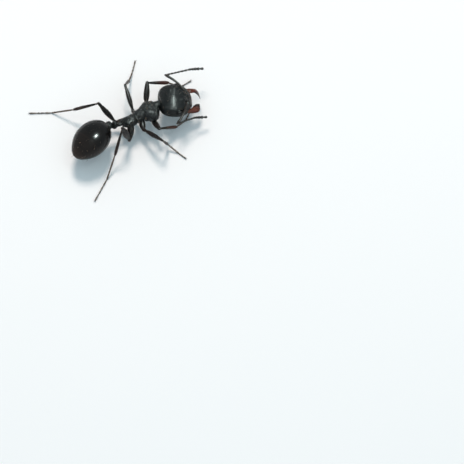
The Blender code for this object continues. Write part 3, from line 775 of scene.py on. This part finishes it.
def makeJaw(side, sign):
    t = steps(jawLook["rings"])
    shares = steps(len(jawLook["outer"]))
    outer, inner = (
        np.stack([smoothThrough(dict(zip(shares, column)))(t) for column in zip(*jawLook[which])], -1)
        for which in ("outer", "inner")
    )
    blade = np.clip((t - jawLook["toothedFrom"]) / jawLook["toothed"], 0, 1)
    saw = np.abs(np.sin(pi * jawLook["teeth"] * blade)) ** jawLook["toothWidth"] * (blade > 0) * (blade < 1)
    edge = unit(np.gradient(inner, axis=0))
    teeth = jawLook["tooth"] * (saw - jawLook["toothLevel"])
    teeth = teeth * ease(*jawLook["toothIn"], t) * ease(*jawLook["toothOut"], t)
    inner = inner + np.stack([-edge[:, 1], edge[:, 0]], -1) * teeth[:, None]
    c, s = turnOf(jawLook["around"])
    share = (1 - c) / 2
    roll = radians(jawLook["roll"][side]) * ease(*jawLook["rolled"], t)[:, None]
    across = (inner - outer)[:, None] * share[None, :, None]
    z = smoothThrough(jawLook["thickness"])(t)[:, None] / 2 * s * (1 - jawLook["thinned"] * share)
    flat = outer[:, None] + across * np.cos(roll)[..., None]
    flat = flat - unit(np.array(jawLook["rollAside"])) * (z * np.sin(roll))[..., None]
    z = z * np.cos(roll) + np.linalg.norm(across, axis=-1) * np.sin(roll) - jawLook["hang"] * t[:, None] ** 2
    rings = np.stack([flat[..., 0], -sign * flat[..., 1], z], -1)
    opened = Matrix.Rotation(radians(sign * jawLook["opening"][side]), 3, "Z")
    drooped = Matrix.Rotation(radians(jawLook["droop"]), 3, "Y")
    rings = rings @ np.array(opened @ drooped).T + np.array(jawHinge) * (1, sign, 1)
    t = t[:, None]
    rim = ease(*jawLook["darkAcross"], share) * ease(*jawLook["darkInner"], t)
    rim = np.clip(rim + ease(*jawLook["darkTip"], t), 0, 1)
    return closedShape(inHead(rings), headAxes[0], rim=rim, hairy=1.0 - rim)


jawShapes = {side: makeJaw(side, sign) for side, sign in sides.items()}
for side, shape in jawShapes.items():
    addPiece(side + "Jaw", shape, "jaw", [side + "_mandible"])

# The mouth under the jaws: a lip, two lobes and the jointed feelers of the mouth. Places are from its middle.
mouthLook = {
    "place": (0.6, 0.0, -0.26), "lipEnd": (-0.05, 0.15, 0.12), "lip": 0.055,
    "lobe": ((-0.24, 0.11, -0.06), (0.02, 0.07, 0.0)), "lobeRadii": {0: 0.063, 0.5: 0.07, 1: 0.049},
    "palps": ((0.2, 0.17), (0.13, 0.05)),  # how far each feeler reaches, and how far from the middle it is
    "palpBack": -0.06, "palpDown": -0.04, "palpDrops": (0.02, -0.05, -0.07), "palpBow": 0.02,
    "palpRadii": (0.0119, 0.0153, 0.017, 0.017, 0.017, 0.0136),
}


def makeMouth():
    place = np.array(mouthLook["place"])
    other = np.array([1, -1, 1])
    lip = np.array(mouthLook["lipEnd"])
    parts = [tubeShape(inHead(between(place + lip * other, place + lip, 10)), mouthLook["lip"], around=14)]
    for sign in (1, -1):
        back, front = (place + np.array(end) * (1, sign, 1) for end in mouthLook["lobe"])
        parts.append(limb(inHead(back), inHead(front), mouthLook["lobeRadii"], 12))
        for reach, out in mouthLook["palps"]:
            start = place + (mouthLook["palpBack"], out * sign, mouthLook["palpDown"])
            for step, drop in enumerate(mouthLook["palpDrops"]):
                aside = mouthLook["palpBow"] * sign * (1 - step)
                end = start + (reach / len(mouthLook["palpDrops"]), aside, drop)
                parts.append(tubeShape(inHead(between(start, end, 6)), mouthLook["palpRadii"], around=10))
                start = end
    return joined(parts)


addPiece("mouthParts", makeMouth(), "jaw")
print("jaws and mouth made")

# The trunk is read across its solids, then parted into its plates and wrinkled.
trunkNodes = ["propodeum", "mesothorax", "pronotum"]
collar, collarFacing, _ = meeting("mesothorax", "pronotum")
groove, grooveFacing, _ = meeting("propodeum", "mesothorax")
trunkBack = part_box("propodeum")[0][0] / mm
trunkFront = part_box("pronotum")[1][0] / mm
trunkLook = {
    "square": 2.3, "around": 200, "wrinkle": 0.012, "inset": 0.006, "tuck": 0.03, "unevenness": 0.005,
    "readings": 22, "readInset": 0.015,  # how often its solids are read, and how far from their ends
    "endInset": 0.004, "cover": 0.075, "underCollar": 0.01, "underGroove": 0.05,
    # the depth and the width of its rounded edges, and where the tuck under the next plate comes in
    "backEdge": (0.012, 0.012), "frontEdge": (0.02, 0.018), "tucked": (0.12, 0.06),
    "turns": [(0.97, 0.006), (0.9, 0.01), (0.75, 0.012), (0.3, 0.012)],
    "rings": {"pronotum": 96, "mesothorax": 56, "propodeum": 84},
    "wrinkles": {
        "pronotum": [(1.6, (10, 4, 4), 4.0), (0.5, (24, 10, 10), 8.0)],
        "mesothorax": [(1.0, (6, 15, 15), 14.0), (0.5, (14, 30, 30), 9.0)],
        "propodeum": [(1.0, (15, 5, 9), 24.0), (0.5, (30, 14, 18), 5.0)],
    },
}
trunkBumps = {
    "pronotum": {"shoulder": ((collar[0] + 0.3, 0.34, 1.12), (0.16, 0.14, 0.14), 0.02)},
    "mesothorax": {
        "bulge": ((groove[0] + 0.2, 0.33, 0.8), (0.14, 0.1, 0.16), 0.03),
        "groove": ((groove[0] + 0.02, 0.25, 1.0), (0.03, 0.2, 0.3), -0.012),
    },
    "propodeum": {
        "corner": ((trunkBack + 0.22, 0.17, 1.04), (0.07, 0.05, 0.08), 0.03),
        "gland": ((trunkBack + 0.22, 0.24, 0.72), (0.12, 0.08, 0.09), 0.025),
        "backDip": ((trunkBack, 0, 0.98), (0.12, 0.13, 0.14), -0.03),
    },
}


# the first point of the trunk's solids that is met from outside, along y (1) or z (2)
def edgeOf(x, y, z, axis, sign):
    outside = 3  # how far out the rays start
    way = Vector([0, 0, 0])
    way[axis] = -sign
    found = []
    # three rays side by side, as one can slip through between two solids
    for aside in (-0.011, 0.0, 0.013):
        start = Vector((x + aside, y, z + 0.003)) - outside * way
        found += [solid(name)[2].ray_cast(start, way)[0] for name in trunkNodes]
    return sign * max(sign * hit[axis] for hit in found if hit is not None)


# the trunk's middle line, half width, top and bottom, as read from its solids
def readTrunk():
    read = []
    inset = trunkLook["readInset"]
    for x in np.linspace(trunkBack + inset, trunkFront - inset, trunkLook["readings"]):
        middle, level = collar[1], collar[2]
        for _ in range(3):
            left, right = (edgeOf(x, middle, level, 1, sign) for sign in (1, -1))
            middle = (left + right) / 2
            top, bottom = (edgeOf(x, middle + 0.003, level, 2, sign) for sign in (1, -1))
            level = (top + bottom) / 2
        read.append((x, middle, (left - right) / 2, top, bottom))
    return [smoothThrough({row[0]: row[k] for row in read}) for k in range(1, 5)]


trunkMiddle, trunkWide, trunkTop, trunkBottom = readTrunk()


def trunkPoint(x, c, s):
    top, bottom = trunkTop(x), trunkBottom(x)
    half = (top - bottom) / 2
    rings = section(x, trunkWide(x), half, half, c, s, trunkLook["square"])
    return rings + np.stack([np.zeros(x.shape), trunkMiddle(x), (top + bottom) / 2], -1)


def trunkRelief(p, name):
    q = p.copy()
    q[..., 1] -= trunkMiddle(p[..., 0])
    x, y, z = q[..., 0], q[..., 1], q[..., 2]
    lift = trunkLook["unevenness"] * roughness(p, 6, 2.0) + bumpsOf(q, trunkBumps[name])
    if name == "pronotum":
        # drawn in at the front, with a raised edge
        x = x - trunkFront
        lift += 0.02 * bell(x, -0.03, 0.02) - 0.04 * ease(-0.12, -0.03, x)
    elif name == "mesothorax":
        # the seam along its side
        lift -= 0.012 * bell(z, 0.93, 0.02) * ease(0.18, 0.26, np.abs(y))
    else:
        # the breathing hole on its side
        away = np.sqrt((x - trunkBack - 0.36) ** 2 + (z - 0.93) ** 2)
        lift += ease(0.12, 0.2, np.abs(y)) * (0.016 * bell(away, 0.035, 0.012) - 0.02 * bell(away, 0, 0.02))
    return lift + trunkLook["wrinkle"] * wrinkles(p, trunkLook["wrinkles"][name])


def makePlate(name):
    c, s = (values[None] for values in turnOf(trunkLook["around"]))
    flat = np.array([1.0, 0, 0])
    inset, cover, underCollar, underGroove = (
        trunkLook[k] * flat for k in ("endInset", "cover", "underCollar", "underGroove")
    )
    # each plate covers the front edge of the one behind it
    ends = {
        "pronotum": ((collar - cover, collarFacing), (trunkFront * flat - inset, flat)),
        "mesothorax": ((groove, grooveFacing), (collar + underCollar, collarFacing)),
        "propodeum": ((trunkBack * flat + inset, flat), (groove + underGroove, grooveFacing)),
    }[name]
    share = steps(trunkLook["rings"][name])[:, None]
    x = np.broadcast_to(ends[0][0][0] * (1 - share) + ends[1][0][0] * share, (len(share), c.shape[1]))
    for _ in range(4):
        z = trunkPoint(x, c, s)[..., 2]
        edges = [at[0] - (z - at[2]) * facing[2] / facing[0] for at, facing in ends]
        x = edges[0] * (1 - share) + edges[1] * share
    rings = trunkPoint(x, c, s)
    length = ends[1][0][0] - ends[0][0][0]
    depth, width = trunkLook["backEdge"]
    edge = depth * np.exp(-share * length / width)
    fromFront = (1 - share) * length
    if name == "pronotum":
        depth, width = trunkLook["frontEdge"]
        edge = edge + depth * np.exp(-fromFront / width)
    else:
        edge = edge + trunkLook["tuck"] * ease(*trunkLook["tucked"], fromFront)
    places = gridPlaces(rings)
    rings = rings + outward(rings) * (trunkRelief(rings, name) - edge - trunkLook["inset"])[..., None]
    # the ends turn in under the next plate
    turns = trunkLook["turns"]
    back = drawnIn(rings[:1], [(size, -shift) for size, shift in turns])[::-1]
    rings = np.concatenate(back + [rings] + drawnIn(rings[-1:], turns))
    pad = [(len(turns), len(turns)), (0, 0)]
    # hairs stand on the upper side
    hairy = np.pad(np.broadcast_to(ease(0.6, 1.1, z), x.shape), pad)
    return closedShape(rings, flat, np.pad(places, pad + [(0, 0)], mode="edge"), hairy=hairy)


trunkShapes = {name: makePlate(name) for name in trunkNodes}
for name, shape in trunkShapes.items():
    addPiece(name + "Plate", shape, "trunk", [name])

# the neck, from the collar of the trunk into the back of the head
neckLook = {
    "radii": {0: 0.21, 0.3: 0.19, 0.6: 0.16, 1: 0.14}, "rings": 40, "folds": 5, "foldDepth": 0.004,
    "inTrunk": 0.06, "inHead": 0.1, "aside": -0.09, "level": -0.03, "bumps": 0.009,
}
neckStart = meeting("neck", "pronotum")[0] - (neckLook["inTrunk"], 0, 0)
neckEnd = inHead((-headForm["length"] / 2 + neckLook["inHead"], neckLook["aside"], neckLook["level"]))
t = steps(neckLook["rings"])
neckRadii = smoothThrough(neckLook["radii"])(t) + neckLook["foldDepth"] * np.sin(tau * neckLook["folds"] * t)
neckPath = between(neckStart, neckEnd, neckLook["rings"])
addPiece("neckJoint", tubeShape(neckPath, neckRadii, around=36, bumps=neckLook["bumps"]), "trunk", ["neck"])
print("trunk and neck made")

waistForms = {
    "petiole": {
        "halfWidth": {-0.12: 0.07, 0: 0.085, 0.4: 0.085, 0.72: 0.165, 0.86: 0.16, 1: 0.1, 1.1: 0.08},
        "top": {-0.12: 0.05, 0: 0.07, 0.38: 0.08, 0.68: 0.25, 0.8: 0.245, 1: 0.085, 1.1: 0.07},
        "bottom": {-0.12: 0.06, 0: 0.08, 0.2: 0.12, 0.5: 0.1, 0.8: 0.125, 1: 0.09, 1.1: 0.07},
    },
    "postpetiole": {
        "halfWidth": {-0.12: 0.07, 0: 0.09, 0.25: 0.15, 0.6: 0.2, 0.9: 0.18, 1.15: 0.14},
        "top": {-0.12: 0.06, 0: 0.08, 0.25: 0.16, 0.55: 0.205, 0.85: 0.16, 1.15: 0.1},
        "bottom": {-0.12: 0.06, 0: 0.08, 0.3: 0.15, 0.6: 0.17, 0.9: 0.14, 1.15: 0.1},
    },
}
waistLook = {
    "rings": 64, "around": 96, "wrinkle": 0.006, "wrinkles": [(1.0, (9, 9, 16), 31.0), (0.5, 28, 12.0)],
}
waistMeetings = (("petiole", "propodeum"), ("petiole", "postpetiole"), ("postpetiole", "gaster_1"))
waistJoints = [meeting(*names)[0] for names in waistMeetings]


def makeWaist(form, start, end):
    axes = axesAlong(end - start)
    share = np.linspace(min(form["top"]), max(form["top"]), waistLook["rings"])
    x = share[:, None] * np.linalg.norm(end - start)
    rings = start + section(x, *sizesAt(form, share), *turnOf(waistLook["around"])) @ axes
    lift = waistLook["wrinkle"] * wrinkles(rings, waistLook["wrinkles"])
    rings = rings + outward(rings) * lift[..., None]
    hairy = ease(0.0, 0.1, rings[..., 2] - (start[2] + end[2]) / 2)
    return closedShape(rings, axes[0], hairy=hairy)


waistShapes = []
for (name, form), start, end in zip(waistForms.items(), waistJoints, waistJoints[1:]):
    waistShapes.append(makeWaist(form, start, end))
    addPiece(name + "Knot", waistShapes[-1], "trunk", [name])

# The gaster: smooth plates, each tucked under the one before it.
gasterForm = {
    "length": 2.08, "frontBlunt": 2.3, "backBlunt": 2.05, "square": 2.1,
    "halfWidth": {0: 0.68, 0.42: 0.74, 0.75: 0.68, 1: 0.55},
    "top": {0: 0.62, 0.4: 0.71, 0.75: 0.62, 1: 0.5},
    "bottom": {0: 0.5, 0.45: 0.6, 0.75: 0.56, 1: 0.5},
}
gasterLook = {
    "ends": (0.0, 0.6, 0.76, 0.87, 0.94, 1.0), "around": 160, "rings": (90, 44, 44, 44, 44),
    "level": 0.6 / 1.31,  # where its middle lies between the lowest and highest point of the solids
    "inset": 0.004, "overlap": 0.035, "tuck": 0.008, "proud": 0.002, "waist": 0.004, "unevenness": 0.0025,
    "seam": -0.32, "seamDepth": 0.009,
    "span": (0.004, 0.9975), "closer": 1.7,  # its first and last ring, and how much closer rings lie there
    # each brown part with its strength and where it comes in: along the whole, and along each plate
    "browned": ((0.26, 0.4, 0.75), (0.7, 0.8, 1.0)), "edged": (0.4, 0.95, 1.0),
    "turns": [(0.996, 0.005), (0.985, 0.006), (0.965, 0.0), (0.9, -0.02), (0.5, -0.03)],
}
gasterNodes = [f"gaster_{k}" for k in range(1, 6)]
gasterAxes = axesAt(**gasterPose)
low, high = extent(gasterNodes, gasterAxes)
gasterLow = low[2] + (high[2] - low[2]) * gasterLook["level"]
gasterStart = np.array([high[0] - gasterForm["length"], (low[1] + high[1]) / 2, gasterLow]) @ gasterAxes


def makeGasterPlate(k):
    start, end = gasterLook["ends"][k:k + 2]
    isFirst, isLast = k == 0, end == 1.0
    low = gasterLook["span"][0] if isFirst else start - gasterLook["overlap"]
    high = gasterLook["span"][1] if isLast else end
    t = steps(gasterLook["rings"][k])
    shares = low + (high - low) * (t ** gasterLook["closer"] if isFirst else t)
    if isLast:
        shares = high - (high - low) * t[::-1] ** gasterLook["closer"]
    rings = eggRings(gasterForm, shares, gasterLook["around"])
    share = (shares[:, None] - start) / (end - start)
    lift = gasterLook["unevenness"] * roughness(rings, 3.0, 11.0 + k) - gasterLook["inset"]
    if not isFirst:
        lift -= gasterLook["tuck"] * ease(0.25, -0.05, share)
    if not isLast:
        # each rear edge stands proud, behind a shallow waist
        lift += gasterLook["proud"] * ease(0.6, 1.0, share) - gasterLook["waist"] * bell(share, 0.93, 0.04)
    level = rings[..., 2] / np.abs(rings[..., 2]).max(axis=1, keepdims=True) - gasterLook["seam"]
    lift -= gasterLook["seamDepth"] * ease(0.03, -0.03, level)
    rings = rings + outward(rings) * lift[..., None]
    browned = sum(part * ease(*edges, shares) for part, *edges in gasterLook["browned"])
    part, *edges = gasterLook["edged"]
    edged = 0 if isLast else part * ease(*edges, share)
    rim = np.broadcast_to(np.maximum(browned[:, None], edged), rings.shape[:2])
    if not isLast:
        turned = drawnIn(rings[-1:], gasterLook["turns"])
        rings = np.concatenate([rings] + turned)
        rim = np.pad(rim, [(0, len(turned)), (0, 0)], mode="edge")
    hairy = np.linspace(0.4, 1, len(rings))[:, None] * (0.5 if isFirst else 1.4)
    return closedShape(gasterStart + rings @ gasterAxes, gasterAxes[0], hairy=hairy, rim=rim)


gasterShapes = [makeGasterPlate(k) for k in range(len(gasterNodes))]
for k, shape in enumerate(gasterShapes):
    addPiece(f"gasterPlate{k + 1}", shape, "gaster", [gasterNodes[k]])
print("waist and gaster made")

# Legs. Radii go through points, each a share of the length and a radius.
legLook = {
    "coxa": {
        "front": {0: 0.13, 0.35: 0.165, 0.75: 0.125, 1: 0.085},
        "middle": {0: 0.11, 0.4: 0.14, 0.8: 0.11, 1: 0.08},
        "hind": {0: 0.12, 0.4: 0.155, 0.8: 0.12, 1: 0.084},
    },
    "trochanter": {0: 0.06, 0.35: 0.08, 0.75: 0.074, 1: 0.058}, "trochanterLength": 0.15,
    "femur": {
        "front": {0: 0.062, 0.1: 0.09, 0.2: 0.115, 0.42: 0.136, 0.62: 0.13, 0.85: 0.102, 1: 0.08},
        "middle": {0: 0.052, 0.1: 0.07, 0.2: 0.095, 0.42: 0.12, 0.62: 0.112, 0.85: 0.076, 1: 0.062},
        "hind": {0: 0.052, 0.1: 0.07, 0.2: 0.095, 0.42: 0.128, 0.62: 0.12, 0.85: 0.08, 1: 0.066},
    },
    "tibia": {0: 0.046, 0.06: 0.042, 0.14: 0.046, 0.45: 0.066, 0.75: 0.075, 0.93: 0.07, 1: 0.054},
    "metatarsus": {0: 0.026, 0.06: 0.029, 0.2: 0.036, 0.8: 0.033, 0.96: 0.036, 1: 0.031},
    "tarsusShares": (0.3, 0.21, 0.15, 0.34), "tarsusRadii": (0.034, 0.032, 0.032, 0.033),
    "claw": 0.085, "clawRadius": 0.0105, "clawTip": 0.0006, "clawTaper": 0.88, "clawHeight": 0.0125,
    # the curve of a claw, in shares of its length
    "clawCurl": 1.7, "clawOnward": 0.9, "clawAside": 0.12, "clawOut": 0.5, "clawArch": 0.35, "clawDrop": 0.25,
    "pad": (0.014, 0.016, 0.017, 0.016, 0.014, 0.01), "padLength": 0.4,
    "spur": 0.15, "spurBend": 0.22, "spurTaper": 0.9, "spurTip": 0.0008,
    "spurRadius": {"front": 0.012, "middle": 0.009, "hind": 0.009},
    "kneeShift": {
        "left_middle": (0.032, -0.049, -0.014), "left_hind": (0.03, -0.017, 0.0),
        "right_middle": (-0.044, -0.033, -0.026),
    },
    "stoutTibia": {"front": 1.1, "middle": 0.94, "hind": 1.0}, "wideFemur": {"right_hind": 1.2},
    "redKnee": 0.4, "redShin": {"front": 0.7, "middle": 0.25, "hind": 0.2},
    "toes": {
        "left_front": 0.03, "right_front": -0.05, "left_middle": 0.14,
        "right_middle": -0.06, "left_hind": -0.08, "right_hind": 0.1,
    },
    "footHeight": 0.036,  # thin feet lie lower than the thick ones of the solids
    "tarsusEnd": 0.2,  # the rounded end of each foot in the solids
    # how far each part begins before or after its joint
    "inTrunk": 0.03, "trochanterStart": 0.03, "femurStart": 0.09, "spurStart": 0.03, "tarsusStart": 0.008,
    "spurOut": 0.45, "soleRadius": 0.022,
}


# where the joints of a leg are, as read from its solids
def readLeg(leg):
    names = [f"{leg}_{part}" for part in ("coxa", "femur", "tibia", "metatarsus", "tarsus")]
    hip, knee, ankle, instep = (bendOf(a, b) for a, b in zip(names, names[1:]))
    knee = knee + legLook["kneeShift"].get(leg, (0, 0, 0))
    inward, depth = reachOf(names[0], hip)
    onward, reach = reachOf(names[-1], instep, level=True)
    instep = np.array([instep[0], instep[1], legLook["footHeight"]])
    toe = instep + onward * (reach - legLook["tarsusEnd"] + legLook["toes"][leg])
    return hip + inward * (depth + legLook["inTrunk"]), hip, knee, ankle, instep, toe


def spur(start, aim, across, radius):
    t = steps(12)[:, None]
    path = start + aim * legLook["spur"] * t + across * legLook["spur"] * legLook["spurBend"] * t ** 2
    path[:, 2] = np.maximum(path[:, 2], radius + lowest)
    radii = radius * (1 - legLook["spurTaper"] * t[:, 0]) + legLook["spurTip"]
    return tubeShape(path, radii, around=8, hairy=0.0, rim=[(0, 1, 1)])


# joints in a row from start to end, each with its share of the length and its radius
def jointRow(start, end, shares, radii, overlap=1.06):
    onward = unit(end - start)
    lengths = np.array(shares) / sum(shares) * np.linalg.norm(end - start)
    middles = np.cumsum(lengths) - lengths / 2
    sizes = [(radius, radius, length * overlap) for length, radius in zip(lengths, radii)]
    marks = {"lie": np.array([onward] * len(sizes)), "size": np.array(sizes)}
    return {"points": start + onward * middles[:, None], "faces": [], "marks": marks}


def clawShape(toe, onward):
    up = np.array([0, 0, 1.0])
    across = np.cross(up, onward)
    length = legLook["claw"]
    look = {"around": 10, "hairy": 0.0, "rim": [(0.2, 0.9, 1)]}
    t = steps(14)[:, None]
    radii = legLook["clawRadius"] * (1 - legLook["clawTaper"] * t[:, 0]) + legLook["clawTip"]
    forward = onward * length * np.sin(t * legLook["clawCurl"]) * legLook["clawOnward"]
    aside = legLook["clawAside"] + legLook["clawOut"] * t
    lift = legLook["clawArch"] * length * np.sin(pi * t) - legLook["clawDrop"] * length * t ** 2
    parts = []
    for sign in (1, -1):
        path = toe + forward + across * sign * length * aside + up * lift
        path[:, 2] = np.maximum(path[:, 2], legLook["clawHeight"])
        parts.append(tubeShape(path, radii, **look))
    pad = between(toe, toe + onward * length * legLook["padLength"], len(legLook["pad"]))
    parts.append(tubeShape(pad, legLook["pad"], **look))
    return joined(parts)


# makes one leg and returns the skins that carry hairs
def makeLeg(side, pair):
    leg, name = f"{side}_{pair}", side + pair.capitalize()
    root, hip, knee, ankle, instep, toe = readLeg(leg)
    plane = unit(np.cross(knee - hip, ankle - knee))
    thigh, shin, onward = unit(knee - hip), unit(ankle - knee), unit(toe - instep)
    look = {"around": 36, "bumps": 0.006, "seed": 1.0, "rim": [(0.86, 1.1, 1)]}
    coxa = limb(root, hip, legLook["coxa"][pair], 26, across=plane, **look)
    ends = hip - thigh * legLook["trochanterStart"], hip + thigh * legLook["trochanterLength"]
    trochanter = limb(*ends, legLook["trochanter"], 18, around=26, across=plane, rim=[(0.55, 0, 1)])
    look = {"around": 26, "flat": 0.82, "bumps": 0.002, "rim": [(0.9, 1.6, 1)]}
    wide = legLook["wideFemur"].get(leg, 1.0)
    start = hip + thigh * legLook["femurStart"]
    femur = limb(start, knee, legLook["femur"][pair], 34, wide, across=plane, **look)
    look = {"around": 22, "flat": 0.85, "bumps": 0.0015}
    rim = [(0.1, 0, legLook["redKnee"]), (0.3, 0.75, legLook["redShin"][pair])]
    stout = legLook["stoutTibia"][pair]
    tibia = limb(knee, ankle, legLook["tibia"], 34, stout, across=plane, rim=rim, **look)
    under = unit(np.cross(plane, shin))
    under = under if under[2] < 0 else -under
    start = ankle - shin * legLook["spurStart"] + under * legLook["spurStart"]
    shinSpur = spur(start, unit(shin + legLook["spurOut"] * under), -under, legLook["spurRadius"][pair])
    shapes = {"coxa": joined([coxa, trochanter]), "femur": femur, "tibia": joined([tibia, shinSpur])}
    for part, shape in shapes.items():
        addPiece(name + part.capitalize(), shape, "leg", [f"{leg}_{part}"])
    basal = limb(ankle, instep, legLook["metatarsus"], 24, around=16, rim=[(0.25, 0, 1)])
    addPiece(name + "Metatarsus", basal, "foot", [leg + "_metatarsus"])
    shift = onward * legLook["tarsusStart"]
    row = jointRow(instep + shift, toe + shift, legLook["tarsusShares"], legLook["tarsusRadii"])
    addGrown(name + "Tarsus", "joints", row, "foot", [leg + "_tarsus"])
    addPiece(name + "Claws", clawShape(toe, onward), "foot")
    sole = tubeShape(between(instep, toe, 12), legLook["soleRadius"], around=10)
    return list(shapes.values()) + [basal, sole]


legSkins = []
for pair in ("front", "middle", "hind"):
    for side in sides:
        legSkins += makeLeg(side, pair)
print("legs made")

feelerLook = {
    "bow": {"left": (0.22, 0.62, 0.5), "right": (0.3, -0.84, 0.4)}, "inSocket": 0.06,
    "scape": {0: 0.036, 0.04: 0.03, 0.09: 0.036, 0.3: 0.043, 0.8: 0.052, 0.95: 0.056, 1: 0.042},
    "funiculus": (0.17, 0.115, 0.12, 0.125, 0.13, 0.14, 0.15),
    "funiculusRadii": (0.043, 0.039, 0.041, 0.042, 0.044, 0.046, 0.049),
    "club": (0.2, 0.22, 0.24, 0.34), "clubRadii": (0.058, 0.066, 0.066, 0.055),
    "clubEnd": 0.19,  # the rounded end of each feeler in the solids
    "elbowShift": {"left": (-0.049, 0.028, 0.0), "right": (0.0, 0.0, 0.0)},
    "tipShift": (-0.027, -0.046, -0.027), "skinRadius": 0.03, "skinHairy": 1.6,
}

feelerSkins = []
for side, sign in sides.items():
    start = inHead(np.array(feelerSocket) * (1, sign, 1) - (0, 0, feelerLook["inSocket"]))
    bow = inHead(feelerLook["bow"][side])
    elbow = bendOf(side + "_scape", side + "_funiculus") + feelerLook["elbowShift"][side]
    joint = bendOf(side + "_funiculus", side + "_club")
    onward, reach = reachOf(side + "_club", joint)
    tip = joint + onward * (reach - feelerLook["clubEnd"]) + feelerLook["tipShift"]
    t = steps(46)
    radii = smoothThrough(feelerLook["scape"])(t)
    t = t[:, None]
    path = start * (1 - t) ** 2 + 2 * bow * t * (1 - t) + elbow * t ** 2
    scape = tubeShape(path, radii, around=22, rim=[(0.08, 0, 1)])
    addPiece(side + "Scape", scape, "leg", [side + "_scape"])
    feelerSkins.append(scape)
    for part, first, last in (("funiculus", elbow, joint), ("club", joint, tip)):
        row = jointRow(first, last, feelerLook[part], feelerLook[part + "Radii"])
        addGrown(side + part.capitalize(), "joints", row, "leg", [f"{side}_{part}"], Sides=18, Rings=14)
        look = {"around": 10, "hairy": feelerLook["skinHairy"]}
        feelerSkins.append(tubeShape(between(first, last, 14), feelerLook["skinRadius"], **look))
print("feelers made")

# Hairs: each coat is one joined mesh, with its own map kept as OFBake. Its values stand in this order.
hairInputs = ("Density", "Length", "Thickness", "Lean", "Spread", "Bend", "Shortest", "Seed")
coats = {
    "headHairs": (34.0, 0.13, 0.0042, 0.45, 0.35, 0.25, 0.35, 3),
    "trunkHairs": (34.0, 0.14, 0.0045, 0.2, 0.45, 0.25, 0.4, 5),
    "gasterHairs": (16.0, 0.12, 0.004, 0.8, 0.3, 0.2, 0.5, 7),
    "legHairs": (210.0, 0.054, 0.003, 1.5, 0.35, 0.1, 0.5, 9),
    "feelerHairs": (420.0, 0.04, 0.0024, 1.6, 0.3, 0.1, 0.6, 11),
}
skins = {
    "headHairs": ("head_shell", [headShape, *jawShapes.values()]),
    "trunkHairs": ("trunk_shell", [*trunkShapes.values(), *waistShapes]),
    "gasterHairs": ("gaster_shell", gasterShapes), "legHairs": ("leg_shell", legSkins),
    "feelerHairs": ("leg_shell", feelerSkins),
}


# gives each skin its own square of the coat's map, with a margin
def spreadPlaces(shapes):
    rows = int(np.ceil(np.sqrt(len(shapes))))
    for k, shape in enumerate(shapes):
        corner = np.array([k % rows, k // rows, 0]) / rows
        shape["marks"]["place"] = corner + (0.02 + 0.95 * shape["marks"]["place"]) / rows
    return joined(shapes)


for name, values in coats.items():
    slotName, shapes = skins[name]
    values = dict(zip(hairInputs, values))
    mesh = addGrown(name, "hairs", spreadPlaces(shapes), "hair", slotName=slotName, **values)
    print(name, "has", len(mesh.polygons), "faces")

# Floor, camera and light.
floorLook = {"size": 0.3, "colour": (0.825, 0.86, 0.875), "roughness": 0.6, "specular": 0.2}
bpy.ops.mesh.primitive_plane_add(size=floorLook["size"], location=(0, 0, 0))
floor = bpy.context.object
floor.name = "floor"
floorMaterial, tree, shader = newMaterial("paleFloor")
fill(tree, shader, {
    "Base Color": (*floorLook["colour"], 1), "Roughness": floorLook["roughness"],
    "Specular IOR Level": floorLook["specular"],
})
floor.data.materials.append(floorMaterial)

cameraLook = {
    "azimuth": -29.9, "elevation": 63.0, "width": 20.18, "beside": 4.294, "below": 4.715, "lens": 1000.0,
    "halfSensor": 18.0, "near": 0.001, "far": 10.0,
}
a, e = radians(cameraLook["azimuth"]), radians(cameraLook["elevation"])
right = Vector((cos(a), sin(a), 0))
back = Vector((sin(a) * cos(e), -cos(a) * cos(e), sin(e)))
up = back.cross(right)
target = (right * cameraLook["beside"] - up * cameraLook["below"]) * mm
away = cameraLook["width"] / 2 / (cameraLook["halfSensor"] / cameraLook["lens"]) * mm
camera = bpy.data.cameras.new("camera")
camera.lens = cameraLook["lens"]
camera.clip_start = cameraLook["near"]
camera.clip_end = cameraLook["far"]
view = newObject("camera", camera)
place = Matrix((right, up, back)).transposed().to_4x4()
place.translation = target + back * away
view.matrix_world = place
bpy.context.scene.camera = view

# Each light comes from a direction in the camera's own axes. The ceiling only lights, the lamp only gleams.
lightDistance = 150
lights = {
    "ceiling": {"from": (-0.05, 0.86, 0.51), "size": 46, "power": 0.168, "colour": (1.0, 0.83, 0.74)},
    "lamp": {"from": (0.346, 0.404, 0.847), "size": 16, "power": 0.5, "colour": (0.86, 1.0, 0.96)},
}
for name, look in lights.items():
    lamp = bpy.data.lights.new(name, "AREA")
    lamp.shape = "DISK"
    lamp.size = look["size"] * mm
    lamp.energy = look["power"]
    lamp.color = look["colour"]
    holder = newObject(name, lamp)
    holder.visible_glossy = name == "lamp"
    holder.visible_diffuse = name == "ceiling"
    x, y, z = look["from"]
    direction = (right * x + up * y + back * z).normalized()
    holder.location = direction * lightDistance * mm
    holder.rotation_euler = direction.to_track_quat("Z", "Y").to_euler()

roomLook = {"colour": (0.78, 0.93, 1.0), "strength": 0.67}
bpy.context.scene.view_settings.view_transform = "Standard"
world = bpy.data.worlds.new("softRoom")
bpy.context.scene.world = world
world.use_nodes = True
tree = world.node_tree
fill(tree, tree.nodes["Background"], {0: (*roomLook["colour"], 1), 1: roomLook["strength"]})
print("stage set")
